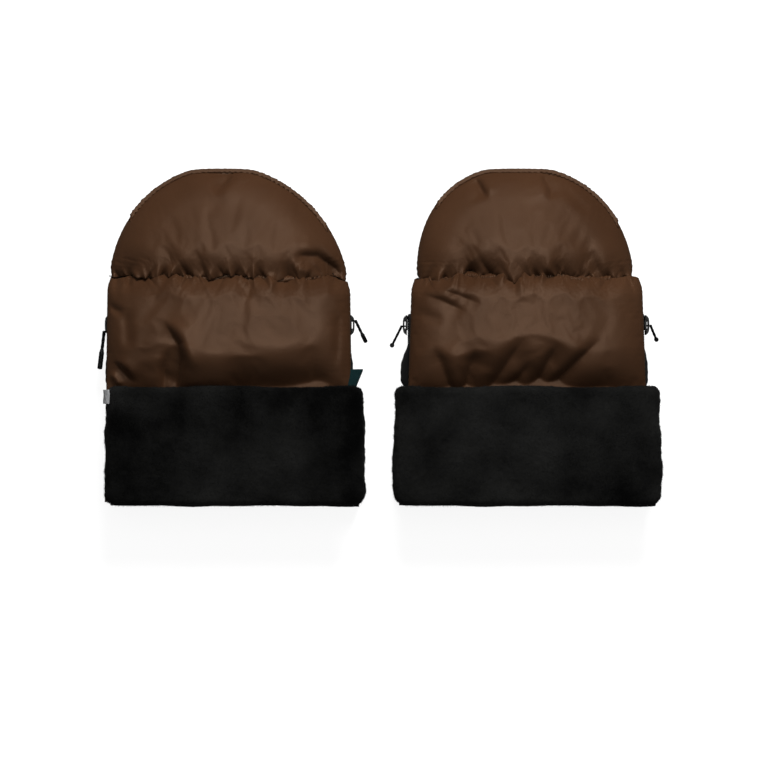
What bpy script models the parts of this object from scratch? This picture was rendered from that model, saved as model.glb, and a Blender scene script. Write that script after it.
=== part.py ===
"""A pair of quilted hand-warmer muffs for a push handle, lying flat side by side.

Each muff is a padded pocket: two quilted chambers on the front and on the back, a plush lining, a plush
cuff turned up over the mouth, and a zip up each side with a port for the handle above it. X runs across
the pair, Y from the mouths to the domes, and Z up from the surface the muffs lie on.
"""

import math
from dataclasses import dataclass

import bmesh
import bpy
from mathutils import Vector

# Heights, from the surface up. Front and back mirror each other about the middle.
HEIGHT = 0.070
MIDDLE = HEIGHT / 2
GAP = 0.0003
CUFF_THICK = 0.0117
PANEL_THICK = 0.020
LINING_THICK = 0.0064
WALL = 0.0015

# Places along the muff.
CROWN_Y = 0.164
MOUTH_Y = -0.164
PANEL_END_Y = MOUTH_Y + 0.002
CUFF_TOP_Y = -0.0475
GATHER_Y = 0.058
GATHER_HALF = 0.0025
STEP_LENGTH = 0.004

# Edges rounded by a bevel are those that turn by more than this.
BEVEL_ANGLE = math.radians(40)

# Quilted panels and lining.
CHAMBER_ROUND = 0.008
UNDER_CUFF_ROUND = 0.003
LINING_ROUND = 0.0015
LINING_INSET = 0.006
DOME_STEPS = 22
BINDING_INSET = 0.0010
BINDING_THICK = 0.0016

# Cuff.
CUFF_CORNER = 0.009
CUFF_CORNER_SEGMENTS = 4
CUFF_ROUND = 0.0045
CUFF_PIVOT_DEPTH = (CUFF_THICK + PANEL_THICK + GAP) / 2

# Side zips.
ZIP_TOP_Y = 0.0235
ZIP_END_Y = -0.134
TEETH_SLIT = 0.0012
TEETH_TALL = 0.0026
TEETH_HALF = 0.0012
TAPE_HALF = 0.00045
BOX_LENGTH = 0.007
BOX_HALF = 0.0042
BOX_DEEP = 0.0022
BOX_ROUND = 0.00055

# Sliders, drawn with their middle at the teeth.
SLIDER_Y = 0.0125
SLIDER_HALF_LENGTH = 0.010
SLIDER_HALF_WIDTH = 0.0042
PLATE_IN = 0.0017
PLATE_OUT = 0.0030
NECK_HALF = 0.0003
BRIDGE_TOP = 0.0054
BRIDGE_HALF_LENGTH = 0.0080
BRIDGE_LEG = 0.0018
BRIDGE_BAR = 0.0012
BRIDGE_HALF_WIDTH = 0.0011
BRIDGE_SUNK = 0.0004

# Pulls: a cord and a moulded end, swinging on an upright axis just outside the bridge.
PULL_AXIS_OUT = BRIDGE_TOP + 0.0013
CORD_RADIUS = 0.00115
CORD_START = 0.0005
CORD_POINTS = 9
CORD_BEVEL = 2
CORD_ROUTE = ((0.0, 0.0), (0.3, 0.07), (0.65, 0.40), (1.0, 1.0))
END_LENGTH = 0.0090
END_RADIUS = 0.0024
END_SEGMENTS = 12
END_RINGS = 8

# Labels.
TAG_SIZE = (0.0114, 0.0176, 0.0010)
TAG_EDGE = 0.0004
TAG_TOP_Y = -0.0305
TAG_Z = 0.0515
CARE_SIZE = (0.0050, 0.0148, 0.0008)
CARE_INSET = 0.0012
CARE_BELOW_CUFF_TOP = 0.0030


@dataclass(frozen=True)
class Pull:
    """How one zip pull lies: its bearing from the mouth direction, and how far it reaches and drops."""

    y: float
    bearing: float
    reach: float
    drop: float


@dataclass(frozen=True)
class Muff:
    """The sizes in which the two muffs differ."""

    name: str
    centre_x: float
    dome_half: float
    dome_rise: float
    dome_power: float
    dome_lean: float
    gather_half: float
    mouth_half: float
    cuff_shift: float
    cuff_half_top: float
    cuff_half_mouth: float
    teeth_x: float
    side_names: dict
    pulls: dict


LEFT = Muff(
    name="left",
    centre_x=-0.1464,
    dome_half=0.1166,
    dome_rise=0.1166,
    dome_power=2.05,
    dome_lean=-0.004,
    gather_half=0.1180,
    mouth_half=0.1200,
    cuff_shift=0.0066,
    cuff_half_top=0.1250,
    cuff_half_mouth=0.1280,
    teeth_x=0.1170,
    side_names={-1: "outer", 1: "inner"},
    pulls={
        -1: Pull(y=0.0064, bearing=9.0, reach=0.0365, drop=0.012),
        1: Pull(y=0.0170, bearing=26.0, reach=0.0215, drop=0.020),
    },
)
RIGHT = Muff(
    name="right",
    centre_x=0.1452,
    dome_half=0.1080,
    dome_rise=0.1075,
    dome_power=2.25,
    dome_lean=-0.008,
    gather_half=0.1125,
    mouth_half=0.1190,
    cuff_shift=-0.0003,
    cuff_half_top=0.1290,
    cuff_half_mouth=0.1320,
    teeth_x=0.1155,
    side_names={-1: "inner", 1: "outer"},
    pulls={
        -1: Pull(y=0.0118, bearing=27.0, reach=0.0215, drop=0.020),
        1: Pull(y=0.0126, bearing=31.0, reach=0.0165, drop=0.020),
    },
)
FRONT, BACK = 1, -1
FACE_NAMES = {FRONT: "front", BACK: "back"}

# Colour, roughness, metallic.
MATERIALS = {
    "shell_nylon": ((0.066, 0.033, 0.019), 0.42, 0.0),
    "padding": ((0.70, 0.69, 0.66), 0.95, 0.0),
    "plush": ((0.010, 0.010, 0.009), 0.95, 0.0),
    "seam_tape": ((0.045, 0.024, 0.014), 0.70, 0.0),
    "zip_tape": ((0.006, 0.006, 0.006), 0.80, 0.0),
    "zip_metal": ((0.012, 0.012, 0.012), 0.35, 0.8),
    "pull_cord": ((0.007, 0.007, 0.007), 0.75, 0.0),
    "pull_end": ((0.008, 0.008, 0.008), 0.50, 0.0),
    "side_tag": ((0.004, 0.020, 0.026), 0.65, 0.0),
    "care_label": ((0.25, 0.25, 0.26), 0.75, 0.0),
}


def clear_scene():
    for old in list(bpy.data.objects):
        bpy.data.objects.remove(old, do_unlink=True)


def new_collection(name, hidden=False):
    found = bpy.data.collections.new(name)
    found.hide_render = hidden
    bpy.context.scene.collection.children.link(found)
    return found


def material(slot):
    """The Principled material of a slot, made once."""
    made = bpy.data.materials.get(slot)
    if made:
        return made
    colour, roughness, metallic = MATERIALS[slot]
    made = bpy.data.materials.new(slot)
    made.use_nodes = True
    shader = made.node_tree.nodes["Principled BSDF"]
    shader.inputs["Base Color"].default_value = (*colour, 1.0)
    shader.inputs["Roughness"].default_value = roughness
    shader.inputs["Metallic"].default_value = metallic
    return made


def empty(name, parent, place):
    made = bpy.data.objects.new(name, None)
    PARTS.objects.link(made)
    made.parent = parent
    made.location = place
    return made


def add_piece(name, mesh, slot, parent, pivot=(0, 0, 0)):
    """Names a mesh drawn in muff coordinates and hangs it on an empty that stands at the pivot."""
    mesh.materials.append(material(slot))
    piece = bpy.data.objects.new(name, mesh)
    PARTS.objects.link(piece)
    piece.parent = parent
    piece.location = -Vector(pivot)
    return piece


def add_modifier(piece, kind, **settings):
    made = piece.modifiers.new(kind.title(), kind)
    for key, value in settings.items():
        setattr(made, key, value)
    return made


def add_bevel(piece, width, segments=2):
    add_modifier(
        piece, "BEVEL", width=width, segments=segments, limit_method="ANGLE", angle_limit=BEVEL_ANGLE
    )


def depth_to_z(face, depth):
    """Height of a point that lies this deep below the front face, or above the back face."""
    return HEIGHT - depth if face == FRONT else depth


def prism(outline, sweep, low, high):
    """A closed prism. The outline fills the two axes that the sweep axis (0, 1 or 2) leaves, in order."""
    shape = bmesh.new()
    axes = [axis for axis in range(3) if axis != sweep]
    ring = []
    for first, second in outline:
        place = Vector((0, 0, 0))
        place[sweep] = low
        place[axes[0]] = first
        place[axes[1]] = second
        ring.append(shape.verts.new(place))
    face = shape.faces.new(ring)
    grown = bmesh.ops.extrude_face_region(shape, geom=[face], use_keep_orig=True)
    moved = [item for item in grown["geom"] if isinstance(item, bmesh.types.BMVert)]
    step = Vector((0, 0, 0))
    step[sweep] = high - low
    bmesh.ops.translate(shape, verts=moved, vec=step)
    bmesh.ops.recalc_face_normals(shape, faces=shape.faces)
    return shape


def open_at_height(shape, height):
    """Removes the flat face at this height, which leaves a tray."""
    flat = [face for face in shape.faces if all(abs(vert.co.z - height) < 1e-6 for vert in face.verts)]
    bmesh.ops.delete(shape, geom=flat, context="FACES_ONLY")


def finished(shape, name):
    mesh = bpy.data.meshes.new(name)
    shape.to_mesh(mesh)
    shape.free()
    return mesh


def box(low, high):
    corners = ((low[0], low[1]), (high[0], low[1]), (high[0], high[1]), (low[0], high[1]))
    return prism(corners, 2, low[2], high[2])


def shell_half(muff, y):
    """Half-width of the lower chamber, which widens a little towards the mouth."""
    share = (GATHER_Y - y) / (GATHER_Y - MOUTH_Y)
    return muff.gather_half + (muff.mouth_half - muff.gather_half) * share


def dome_arc(muff, inset, low_y):
    """The dome's edge from right to left, a superellipse that starts at this height above its base."""
    half = muff.dome_half - inset
    rise = muff.dome_rise - inset
    base = CROWN_Y - muff.dome_rise
    start = math.asin(((low_y - base) / rise) ** (muff.dome_power / 2))
    arc = []
    for step in range(DOME_STEPS + 1):
        turn = start + (math.pi - 2 * start) * step / DOME_STEPS
        across = math.copysign(abs(math.cos(turn)) ** (2 / muff.dome_power), math.cos(turn))
        up = math.sin(turn) ** (2 / muff.dome_power)
        arc.append((half * across + muff.dome_lean * up**2, base + rise * up))
    return arc


def lower_profile(face, inset):
    """Side profile of the lower chamber: full height above the cuff, thin where the cuff lies on it."""
    rim = PANEL_THICK
    under_cuff = CUFF_THICK + GAP + inset
    profile = (
        (PANEL_END_Y + inset, rim),
        (PANEL_END_Y + inset, under_cuff),
        (CUFF_TOP_Y + GAP + inset, under_cuff),
        (CUFF_TOP_Y + STEP_LENGTH + inset, inset),
        (GATHER_Y - GATHER_HALF - GAP - inset, inset),
        (GATHER_Y - GATHER_HALF - GAP - inset, rim),
    )
    return [(y, depth_to_z(face, depth)) for y, depth in profile]


def widen(shape, muff, inset):
    """Gives a block swept from -1 to 1 across X the lower chamber's width at each place along the muff."""
    for vert in shape.verts:
        vert.co.x = math.copysign(shell_half(muff, vert.co.y) - inset, vert.co.x)


def make_chambers(muff, face, root):
    """The quilted shells and the padding inside them."""
    rim = depth_to_z(face, PANEL_THICK)
    label = FACE_NAMES[face]
    clear = WALL + GAP
    upper_low = GATHER_Y + GATHER_HALF + GAP

    shape = prism(dome_arc(muff, 0, upper_low), 2, rim, depth_to_z(face, 0))
    open_at_height(shape, rim)
    name = f"{muff.name}_{label}_upper_shell"
    piece = add_piece(name, finished(shape, name), "shell_nylon", root)
    add_bevel(piece, CHAMBER_ROUND)
    add_modifier(piece, "SOLIDIFY", thickness=WALL, offset=-1)

    shape = prism(dome_arc(muff, clear, upper_low + clear), 2, rim, depth_to_z(face, clear))
    name = f"{muff.name}_{label}_upper_padding"
    piece = add_piece(name, finished(shape, name), "padding", root)
    add_bevel(piece, CHAMBER_ROUND)

    shape = prism(lower_profile(face, 0), 0, -1, 1)
    open_at_height(shape, rim)
    widen(shape, muff, 0)
    name = f"{muff.name}_{label}_lower_shell"
    piece = add_piece(name, finished(shape, name), "shell_nylon", root)
    add_bevel(piece, UNDER_CUFF_ROUND)
    add_modifier(piece, "SOLIDIFY", thickness=WALL, offset=-1)

    shape = prism(lower_profile(face, clear), 0, -1, 1)
    widen(shape, muff, clear)
    name = f"{muff.name}_{label}_lower_padding"
    piece = add_piece(name, finished(shape, name), "padding", root)
    add_bevel(piece, UNDER_CUFF_ROUND)


def make_gather_band(muff, face, root):
    """The elastic that the two chambers are gathered on."""
    half = muff.dome_half - 2 * WALL
    near = depth_to_z(face, PANEL_THICK)
    far = depth_to_z(face, CUFF_THICK)
    low = (-half, GATHER_Y - GATHER_HALF, min(near, far))
    high = (half, GATHER_Y + GATHER_HALF, max(near, far))
    name = f"{muff.name}_{FACE_NAMES[face]}_gather_elastic"
    add_piece(name, finished(box(low, high), name), "seam_tape", root)


def make_lining(muff, face, root):
    """One plush sheet that faces the hands, from the mouth to the dome."""
    arc = dome_arc(muff, LINING_INSET, GATHER_Y)
    half = shell_half(muff, PANEL_END_Y) - LINING_INSET
    outline = [(half, PANEL_END_Y), *arc, (-half, PANEL_END_Y)]
    outer = depth_to_z(face, PANEL_THICK + GAP)
    inner = depth_to_z(face, PANEL_THICK + GAP + LINING_THICK)
    name = f"{muff.name}_{FACE_NAMES[face]}_lining"
    piece = add_piece(name, finished(prism(outline, 2, outer, inner), name), "plush", root)
    add_bevel(piece, LINING_ROUND, segments=1)


def make_binding(muff, root):
    """The strip that closes the pocket round the dome, between the front and the back."""
    shape = bmesh.new()
    low = depth_to_z(BACK, PANEL_THICK + GAP)
    high = depth_to_z(FRONT, PANEL_THICK + GAP)
    arc = dome_arc(muff, BINDING_INSET, GATHER_Y)
    line = [shape.verts.new((x, y, low)) for x, y in arc]
    edges = [shape.edges.new(pair) for pair in zip(line, line[1:])]
    grown = bmesh.ops.extrude_edge_only(shape, edges=edges)
    moved = [item for item in grown["geom"] if isinstance(item, bmesh.types.BMVert)]
    bmesh.ops.translate(shape, verts=moved, vec=(0, 0, high - low))
    bmesh.ops.recalc_face_normals(shape, faces=shape.faces)
    name = f"{muff.name}_dome_binding"
    piece = add_piece(name, finished(shape, name), "seam_tape", root)
    add_modifier(piece, "SOLIDIFY", thickness=BINDING_THICK, offset=0)


def make_cuff(muff, face, root):
    """One flap of the plush cuff, on an empty at the line where it turns over the mouth."""
    top, mouth = muff.cuff_half_top, muff.cuff_half_mouth
    corners = ((-mouth, MOUTH_Y), (mouth, MOUTH_Y), (top, CUFF_TOP_Y), (-top, CUFF_TOP_Y))
    outline = [(x + muff.cuff_shift, y) for x, y in corners]
    shape = prism(outline, 2, depth_to_z(face, 0), depth_to_z(face, CUFF_THICK))
    upright = [edge for edge in shape.edges if abs(edge.verts[0].co.z - edge.verts[1].co.z) > GAP]
    bmesh.ops.bevel(
        shape, geom=upright, offset=CUFF_CORNER, segments=CUFF_CORNER_SEGMENTS, profile=0.5, affect="EDGES"
    )
    label = f"{muff.name}_{FACE_NAMES[face]}_cuff"
    pivot = (muff.cuff_shift, MOUTH_Y, depth_to_z(face, CUFF_PIVOT_DEPTH))
    holder = empty(f"{label}_turn", root, pivot)
    piece = add_piece(label, finished(shape, label), "plush", holder, pivot)
    add_bevel(piece, CUFF_ROUND)
    return holder


def mirrored(outline, side):
    return [(side * x, z) for x, z in outline]


def make_zip_halves(muff, side, root):
    """The front and the back tape with their teeth, and the box that the zip starts from."""
    x = muff.teeth_x
    for face in (FRONT, BACK):
        outline = (
            (x - TEETH_HALF, TEETH_SLIT / 2),
            (x + TEETH_HALF, TEETH_SLIT / 2),
            (x + TEETH_HALF, TEETH_SLIT / 2 + TEETH_TALL),
            (x + TAPE_HALF, TEETH_SLIT / 2 + TEETH_TALL),
            (x + TAPE_HALF, MIDDLE - PANEL_THICK - GAP),
            (x - TAPE_HALF, MIDDLE - PANEL_THICK - GAP),
            (x - TAPE_HALF, TEETH_SLIT / 2 + TEETH_TALL),
            (x - TEETH_HALF, TEETH_SLIT / 2 + TEETH_TALL),
        )
        placed = [(px, MIDDLE + face * z) for px, z in mirrored(outline, side)]
        name = f"{muff.name}_{muff.side_names[side]}_zip_{FACE_NAMES[face]}_tape"
        shape = prism(placed, 1, ZIP_END_Y, ZIP_TOP_Y)
        add_piece(name, finished(shape, name), "zip_tape", root)
    low = (side * x - BOX_DEEP, ZIP_END_Y - GAP - BOX_LENGTH, MIDDLE - BOX_HALF)
    high = (side * x + BOX_DEEP, ZIP_END_Y - GAP, MIDDLE + BOX_HALF)
    name = f"{muff.name}_{muff.side_names[side]}_zip_box"
    piece = add_piece(name, finished(box(low, high), name), "zip_metal", root)
    add_bevel(piece, BOX_ROUND, segments=1)


def make_slider(muff, side, root):
    """Two plates joined by a neck that runs in the slit between the teeth, and the bridge for the pull."""
    x = muff.teeth_x
    wide, neck = SLIDER_HALF_WIDTH, NECK_HALF
    section = (
        (x - PLATE_OUT, -wide),
        (x - PLATE_IN, -wide),
        (x - PLATE_IN, -neck),
        (x + PLATE_IN, -neck),
        (x + PLATE_IN, -wide),
        (x + PLATE_OUT, -wide),
        (x + PLATE_OUT, wide),
        (x + PLATE_IN, wide),
        (x + PLATE_IN, neck),
        (x - PLATE_IN, neck),
        (x - PLATE_IN, wide),
        (x - PLATE_OUT, wide),
    )
    placed = [(px, MIDDLE + z) for px, z in mirrored(section, side)]
    name = f"{muff.name}_{muff.side_names[side]}_zip_slider"
    holder = empty(f"{name}_run", root, (side * x, SLIDER_Y, MIDDLE))
    pivot = holder.location
    body = prism(placed, 1, SLIDER_Y - SLIDER_HALF_LENGTH, SLIDER_Y + SLIDER_HALF_LENGTH)
    piece = add_piece(name, finished(body, name), "zip_metal", holder, pivot)

    foot = x + PLATE_OUT - BRIDGE_SUNK
    bar = x + BRIDGE_TOP - BRIDGE_BAR
    top = x + BRIDGE_TOP
    ends = (-BRIDGE_HALF_LENGTH, BRIDGE_HALF_LENGTH)
    arch = (
        (foot, ends[0]),
        (top, ends[0] + BRIDGE_BAR),
        (top, ends[1] - BRIDGE_BAR),
        (foot, ends[1]),
        (foot, ends[1] - BRIDGE_LEG),
        (bar, ends[1] - BRIDGE_LEG - BRIDGE_BAR),
        (bar, ends[0] + BRIDGE_LEG + BRIDGE_BAR),
        (foot, ends[0] + BRIDGE_LEG),
    )
    outline = [(px, SLIDER_Y + y) for px, y in mirrored(arch, side)]
    shape = prism(outline, 2, MIDDLE - BRIDGE_HALF_WIDTH, MIDDLE + BRIDGE_HALF_WIDTH)
    tool = bpy.data.objects.new(f"{name}_bridge", finished(shape, f"{name}_bridge"))
    CUTTERS.objects.link(tool)
    tool.hide_render = True
    tool.display_type = "WIRE"
    tool.parent = holder
    tool.location = -Vector(pivot)
    add_modifier(piece, "BOOLEAN", operation="UNION", object=tool)
    return holder


def smooth_route(points, count):
    """Evenly shared points on a Catmull-Rom curve through the given ones."""
    guides = [points[0], *points, points[-1]]
    spans = len(points) - 1
    route = []
    for step in range(count):
        place = spans * step / (count - 1)
        span = min(int(place), spans - 1)
        t = place - span
        a, b, c, d = guides[span : span + 4]
        bend = 2 * a - 5 * b + 4 * c - d
        twist = 3 * b - a - 3 * c + d
        route.append((2 * b + (c - a) * t + bend * t**2 + twist * t**3) / 2)
    return route


def make_pull(muff, side, slider_holder):
    """The cord and its moulded end, on an empty at the upright axis that they swing on."""
    pull = muff.pulls[side]
    name = f"{muff.name}_{muff.side_names[side]}_zip_pull"
    axis = Vector((side * (muff.teeth_x + PULL_AXIS_OUT), pull.y, MIDDLE))
    holder = empty(f"{name}_swing", slider_holder, axis - slider_holder.location)
    heading = math.radians(pull.bearing)
    out = Vector((side * math.sin(heading), -math.cos(heading), 0))
    down = Vector((0, 0, -1))
    guides = [out * (CORD_START + reach * pull.reach) + down * fall * pull.drop for reach, fall in CORD_ROUTE]
    route = smooth_route(guides, CORD_POINTS)
    curve = bpy.data.curves.new(f"{name}_cord", "CURVE")
    curve.dimensions = "3D"
    curve.bevel_depth = CORD_RADIUS
    curve.bevel_resolution = CORD_BEVEL
    curve.use_fill_caps = True
    spline = curve.splines.new("POLY")
    tip = (route[-1] - route[-2]).normalized()
    route[-1] -= tip * (END_LENGTH + GAP)
    kept = [point for point in route if (route[-1] - point).dot(tip) >= 0]
    spline.points.add(len(kept) - 1)
    for slot, point in zip(spline.points, kept):
        slot.co = (*point, 1.0)
    curve.materials.append(material("pull_cord"))
    cord = bpy.data.objects.new(f"{name}_cord", curve)
    PARTS.objects.link(cord)
    cord.parent = holder

    shape = bmesh.new()
    bmesh.ops.create_uvsphere(shape, u_segments=END_SEGMENTS, v_segments=END_RINGS, radius=1)
    bmesh.ops.scale(shape, vec=(END_RADIUS, END_RADIUS, END_LENGTH / 2), verts=shape.verts)
    turn = tip.to_track_quat("Z", "Y").to_matrix()
    bmesh.ops.rotate(shape, cent=(0, 0, 0), matrix=turn, verts=shape.verts)
    middle = kept[-1] + tip * (GAP + END_LENGTH / 2)
    bmesh.ops.translate(shape, verts=shape.verts, vec=middle)
    mesh = finished(shape, f"{name}_end")
    mesh.shade_smooth()
    add_piece(f"{name}_end", mesh, "pull_end", holder)


def make_labels(muff, root, cuff_holder):
    """A woven tag in the right side seam, and a care label on the cuff's left edge."""
    low_x = shell_half(muff, TAG_TOP_Y - TAG_SIZE[1]) + TAG_EDGE
    low = (low_x, TAG_TOP_Y - TAG_SIZE[1], TAG_Z)
    high = (low_x + TAG_SIZE[0], TAG_TOP_Y, TAG_Z + TAG_SIZE[2])
    name = f"{muff.name}_side_tag"
    add_piece(name, finished(box(low, high), name), "side_tag", root)

    left = muff.cuff_shift - muff.cuff_half_top + CARE_INSET
    top = CUFF_TOP_Y - CARE_BELOW_CUFF_TOP
    low = (left, top - CARE_SIZE[1], HEIGHT + GAP)
    high = (left + CARE_SIZE[0], top, HEIGHT + GAP + CARE_SIZE[2])
    name = f"{muff.name}_care_label"
    add_piece(name, finished(box(low, high), name), "care_label", cuff_holder, cuff_holder.location)


def make_muff(muff):
    root = empty(f"{muff.name}_muff", None, (muff.centre_x, 0, 0))
    cuffs = {}
    for face in (FRONT, BACK):
        make_chambers(muff, face, root)
        make_gather_band(muff, face, root)
        make_lining(muff, face, root)
        cuffs[face] = make_cuff(muff, face, root)
    make_binding(muff, root)
    for side in (-1, 1):
        make_zip_halves(muff, side, root)
        make_pull(muff, side, make_slider(muff, side, root))
    return root, cuffs


clear_scene()
PARTS = new_collection("hand_warmer_muff")
CUTTERS = new_collection("cutters", hidden=True)
left_root, left_cuffs = make_muff(LEFT)
make_labels(LEFT, left_root, left_cuffs[FRONT])
make_muff(RIGHT)
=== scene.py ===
"""Looks of a pair of quilted hand-warmer muffs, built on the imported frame. Metres, +Z up."""

import math

import bmesh
import bpy
import numpy as np
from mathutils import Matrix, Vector, noise
from mathutils.geometry import delaunay_2d_cdt


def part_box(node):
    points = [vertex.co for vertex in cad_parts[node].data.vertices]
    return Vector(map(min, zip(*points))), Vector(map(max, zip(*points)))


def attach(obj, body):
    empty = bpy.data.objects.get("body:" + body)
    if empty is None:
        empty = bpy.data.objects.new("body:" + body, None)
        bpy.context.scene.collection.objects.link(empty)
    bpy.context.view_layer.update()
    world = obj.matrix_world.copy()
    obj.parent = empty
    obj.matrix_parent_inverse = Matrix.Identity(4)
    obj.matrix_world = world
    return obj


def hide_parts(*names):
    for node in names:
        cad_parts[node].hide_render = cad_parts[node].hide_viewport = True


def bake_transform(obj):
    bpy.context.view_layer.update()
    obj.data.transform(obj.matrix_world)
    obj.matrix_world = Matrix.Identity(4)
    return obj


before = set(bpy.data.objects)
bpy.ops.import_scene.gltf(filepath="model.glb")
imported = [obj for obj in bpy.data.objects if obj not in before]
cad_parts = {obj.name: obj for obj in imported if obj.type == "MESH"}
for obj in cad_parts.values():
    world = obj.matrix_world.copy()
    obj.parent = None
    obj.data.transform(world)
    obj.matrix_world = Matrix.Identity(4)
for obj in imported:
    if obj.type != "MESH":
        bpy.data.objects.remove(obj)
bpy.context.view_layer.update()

FRONT, BACK = 1, -1
FACES = {FRONT: "front", BACK: "back"}
SIDES = {"left": {"outer": -1, "inner": 1}, "right": {"inner": -1, "outer": 1}}

# Heights that front and back mirror each other about.
STACK = 0.070
MIDDLE = STACK / 2

# Shell: how the puffed surface stands over its outline.
CROWN = {FRONT: 0.0745, BACK: 0.0735}
SEAM_Z_DOME = 0.0400
SEAM_Z_SIDE = 0.0500
SEAM_Z_FROM_Y = 0.068
SEAM_Z_RUN = 0.03
ROUND_RADIUS = 0.036
ROUND_POWER = 0.85
WIDE_RADIUS = 0.100
WIDE_SHARE = 0.48
EDGE_START = math.radians(-28)
PINCH = 0.0026
PINCH_REACH = 0.006
PINCH_INWARD = 0.05
GROW = 0.0014
PUCKER_STEP = 0.0052
PUCKER_REACH = 0.008
DOME_PUCKER = 0.0013
SIDE_PUCKER = 0.0007
PUCKER_LIFT = 1.6

# The dome's outline: where the shell's line round it ends, and how its top is cut flat.
DOME_LOW_Y = 0.0576
DOME_FOOT_Y = 0.03
DOME_OVER = 0.0008
DOME_POINTS = 160
FLAT_TOP = 1.024
FLAT_FROM = 0.975

# The gather seam and the valley beside it.
GATHER_Y = 0.058
VALLEY_POWER = 0.72
GATHER_DEPTH = 0.33
GATHER_REACH_UP = 0.030
GATHER_REACH_DOWN = 0.020
SEAM_GAP = 0.0004

# The cuff's place, and the lower chamber's slope down to it.
CUFF_TOP_Y = -0.0475
MOUTH_Y = -0.164
UNDER_CUFF_Z = 0.0537
UNDER_CUFF_FALL = 0.004
SLOPE_START_Y = -0.004
SLOPE_END_Y = -0.0515
SLOPE_POWER = 1.7

# Folds: shares for all of them, where they end under the cuff, and how low they may go away from the sides.
FOLD_WIDE = 1.15
FOLD_TALL = 1.25
BANK = 0.75
COURSE_STEP = 0.02
FOLD_END_Y = -0.0580
FOLD_END_FADE = 0.008
FOLD_FLOOR = 0.0526
FOLD_ROOM = 0.020

# Meshing.
PATCH_STEP = 0.0030
FINE_REACH = 0.017
RING_ROOM = 0.62
JITTER = 0.12
ON_LINE = 2e-5

rng = np.random.default_rng(20)


def clamp01(value):
    return np.clip(value, 0.0, 1.0)


def smooth01(value):
    value = clamp01(value)
    return value * value * (3 - 2 * value)


class Muff:
    """One muff's plan, read from its CAD pieces, with the few shape numbers a box can't tell."""

    def __init__(self, name, gather_half, gather_tilt, dome_power, dome_lean, dome_shift, dome_trim,
                 dome_foot):
        self.name = name
        self.gather_tilt = gather_tilt
        self.shift = dome_shift
        low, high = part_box(f"{name}_front_lower_shell")
        self.x = (low[0] + high[0]) / 2
        self.mouth_half = (high[0] - low[0]) / 2
        self.gather_half = gather_half
        low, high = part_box(f"{name}_dome_binding")
        self.dome_half = (high[0] - low[0]) / 2 + DOME_OVER - dome_trim
        low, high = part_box(f"{name}_front_upper_shell")
        self.crown_y = high[1]
        self.power = dome_power
        self.lean = dome_lean
        self.rise = self.crown_y - dome_foot

    def half(self, y):
        share = (GATHER_Y - np.asarray(y)) / (GATHER_Y - MOUTH_Y)
        return self.gather_half + (self.mouth_half - self.gather_half) * share

    def dome(self, low_y, count=90):
        base = self.crown_y - self.rise
        start = math.asin(((low_y - base) / self.rise) ** (self.power / 2))
        turn = np.linspace(start, math.pi - start, count)
        across = np.sign(np.cos(turn)) * np.abs(np.cos(turn)) ** (2 / self.power)
        up = np.sin(turn) ** (2 / self.power) * FLAT_TOP
        over = np.maximum(up - FLAT_FROM, 0)
        up = np.minimum(up, FLAT_FROM) + (1 - FLAT_FROM) * (1 - np.exp(-over / (1 - FLAT_FROM)))
        x = self.dome_half * across + self.shift + self.lean * up**1.2
        return np.column_stack([x, base + self.rise * up])


MUFFS = (
    Muff("left", gather_half=0.1170, gather_tilt=-0.020, dome_power=1.95, dome_lean=-0.0058,
         dome_shift=-0.0005, dome_trim=0.0008, dome_foot=0.0475),
    Muff("right", gather_half=0.1110, gather_tilt=0.0, dome_power=2.17, dome_lean=-0.0078,
         dome_shift=-0.0010, dome_trim=0.0036, dome_foot=0.0565),
)


def resample(line, step):
    """The polyline with points a step apart, its ends kept."""
    line = np.asarray(line, float)
    lengths = np.hypot(*np.diff(line, axis=0).T)
    along = np.concatenate([[0], np.cumsum(lengths)])
    places = np.linspace(0, along[-1], max(2, round(along[-1] / step) + 1))
    return np.column_stack([np.interp(places, along, line[:, i]) for i in range(2)])


def nearest(points, line):
    """Distance to the polyline, the unit direction away from it, and the place along it, for each point.
    A point on the line counts as lying to its left."""
    best = np.full(len(points), np.inf)
    away = np.zeros((len(points), 2))
    along = np.zeros(len(points))
    run = 0.0
    for a, b in zip(line[:-1], line[1:]):
        span = b - a
        t = clamp01(((points - a) @ span) / (span @ span))
        offset = points - (a + t[:, None] * span)
        distance = np.hypot(*offset.T)
        closer = distance < best
        length = math.hypot(*span)
        best[closer] = distance[closer]
        on_line = distance < ON_LINE
        offset[on_line] = np.array([-span[1], span[0]]) / length
        away[closer] = offset[closer]
        along[closer] = run + (t * length)[closer]
        run += length
    return best, away / np.maximum(np.hypot(*away.T), 1e-9)[:, None], along


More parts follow.
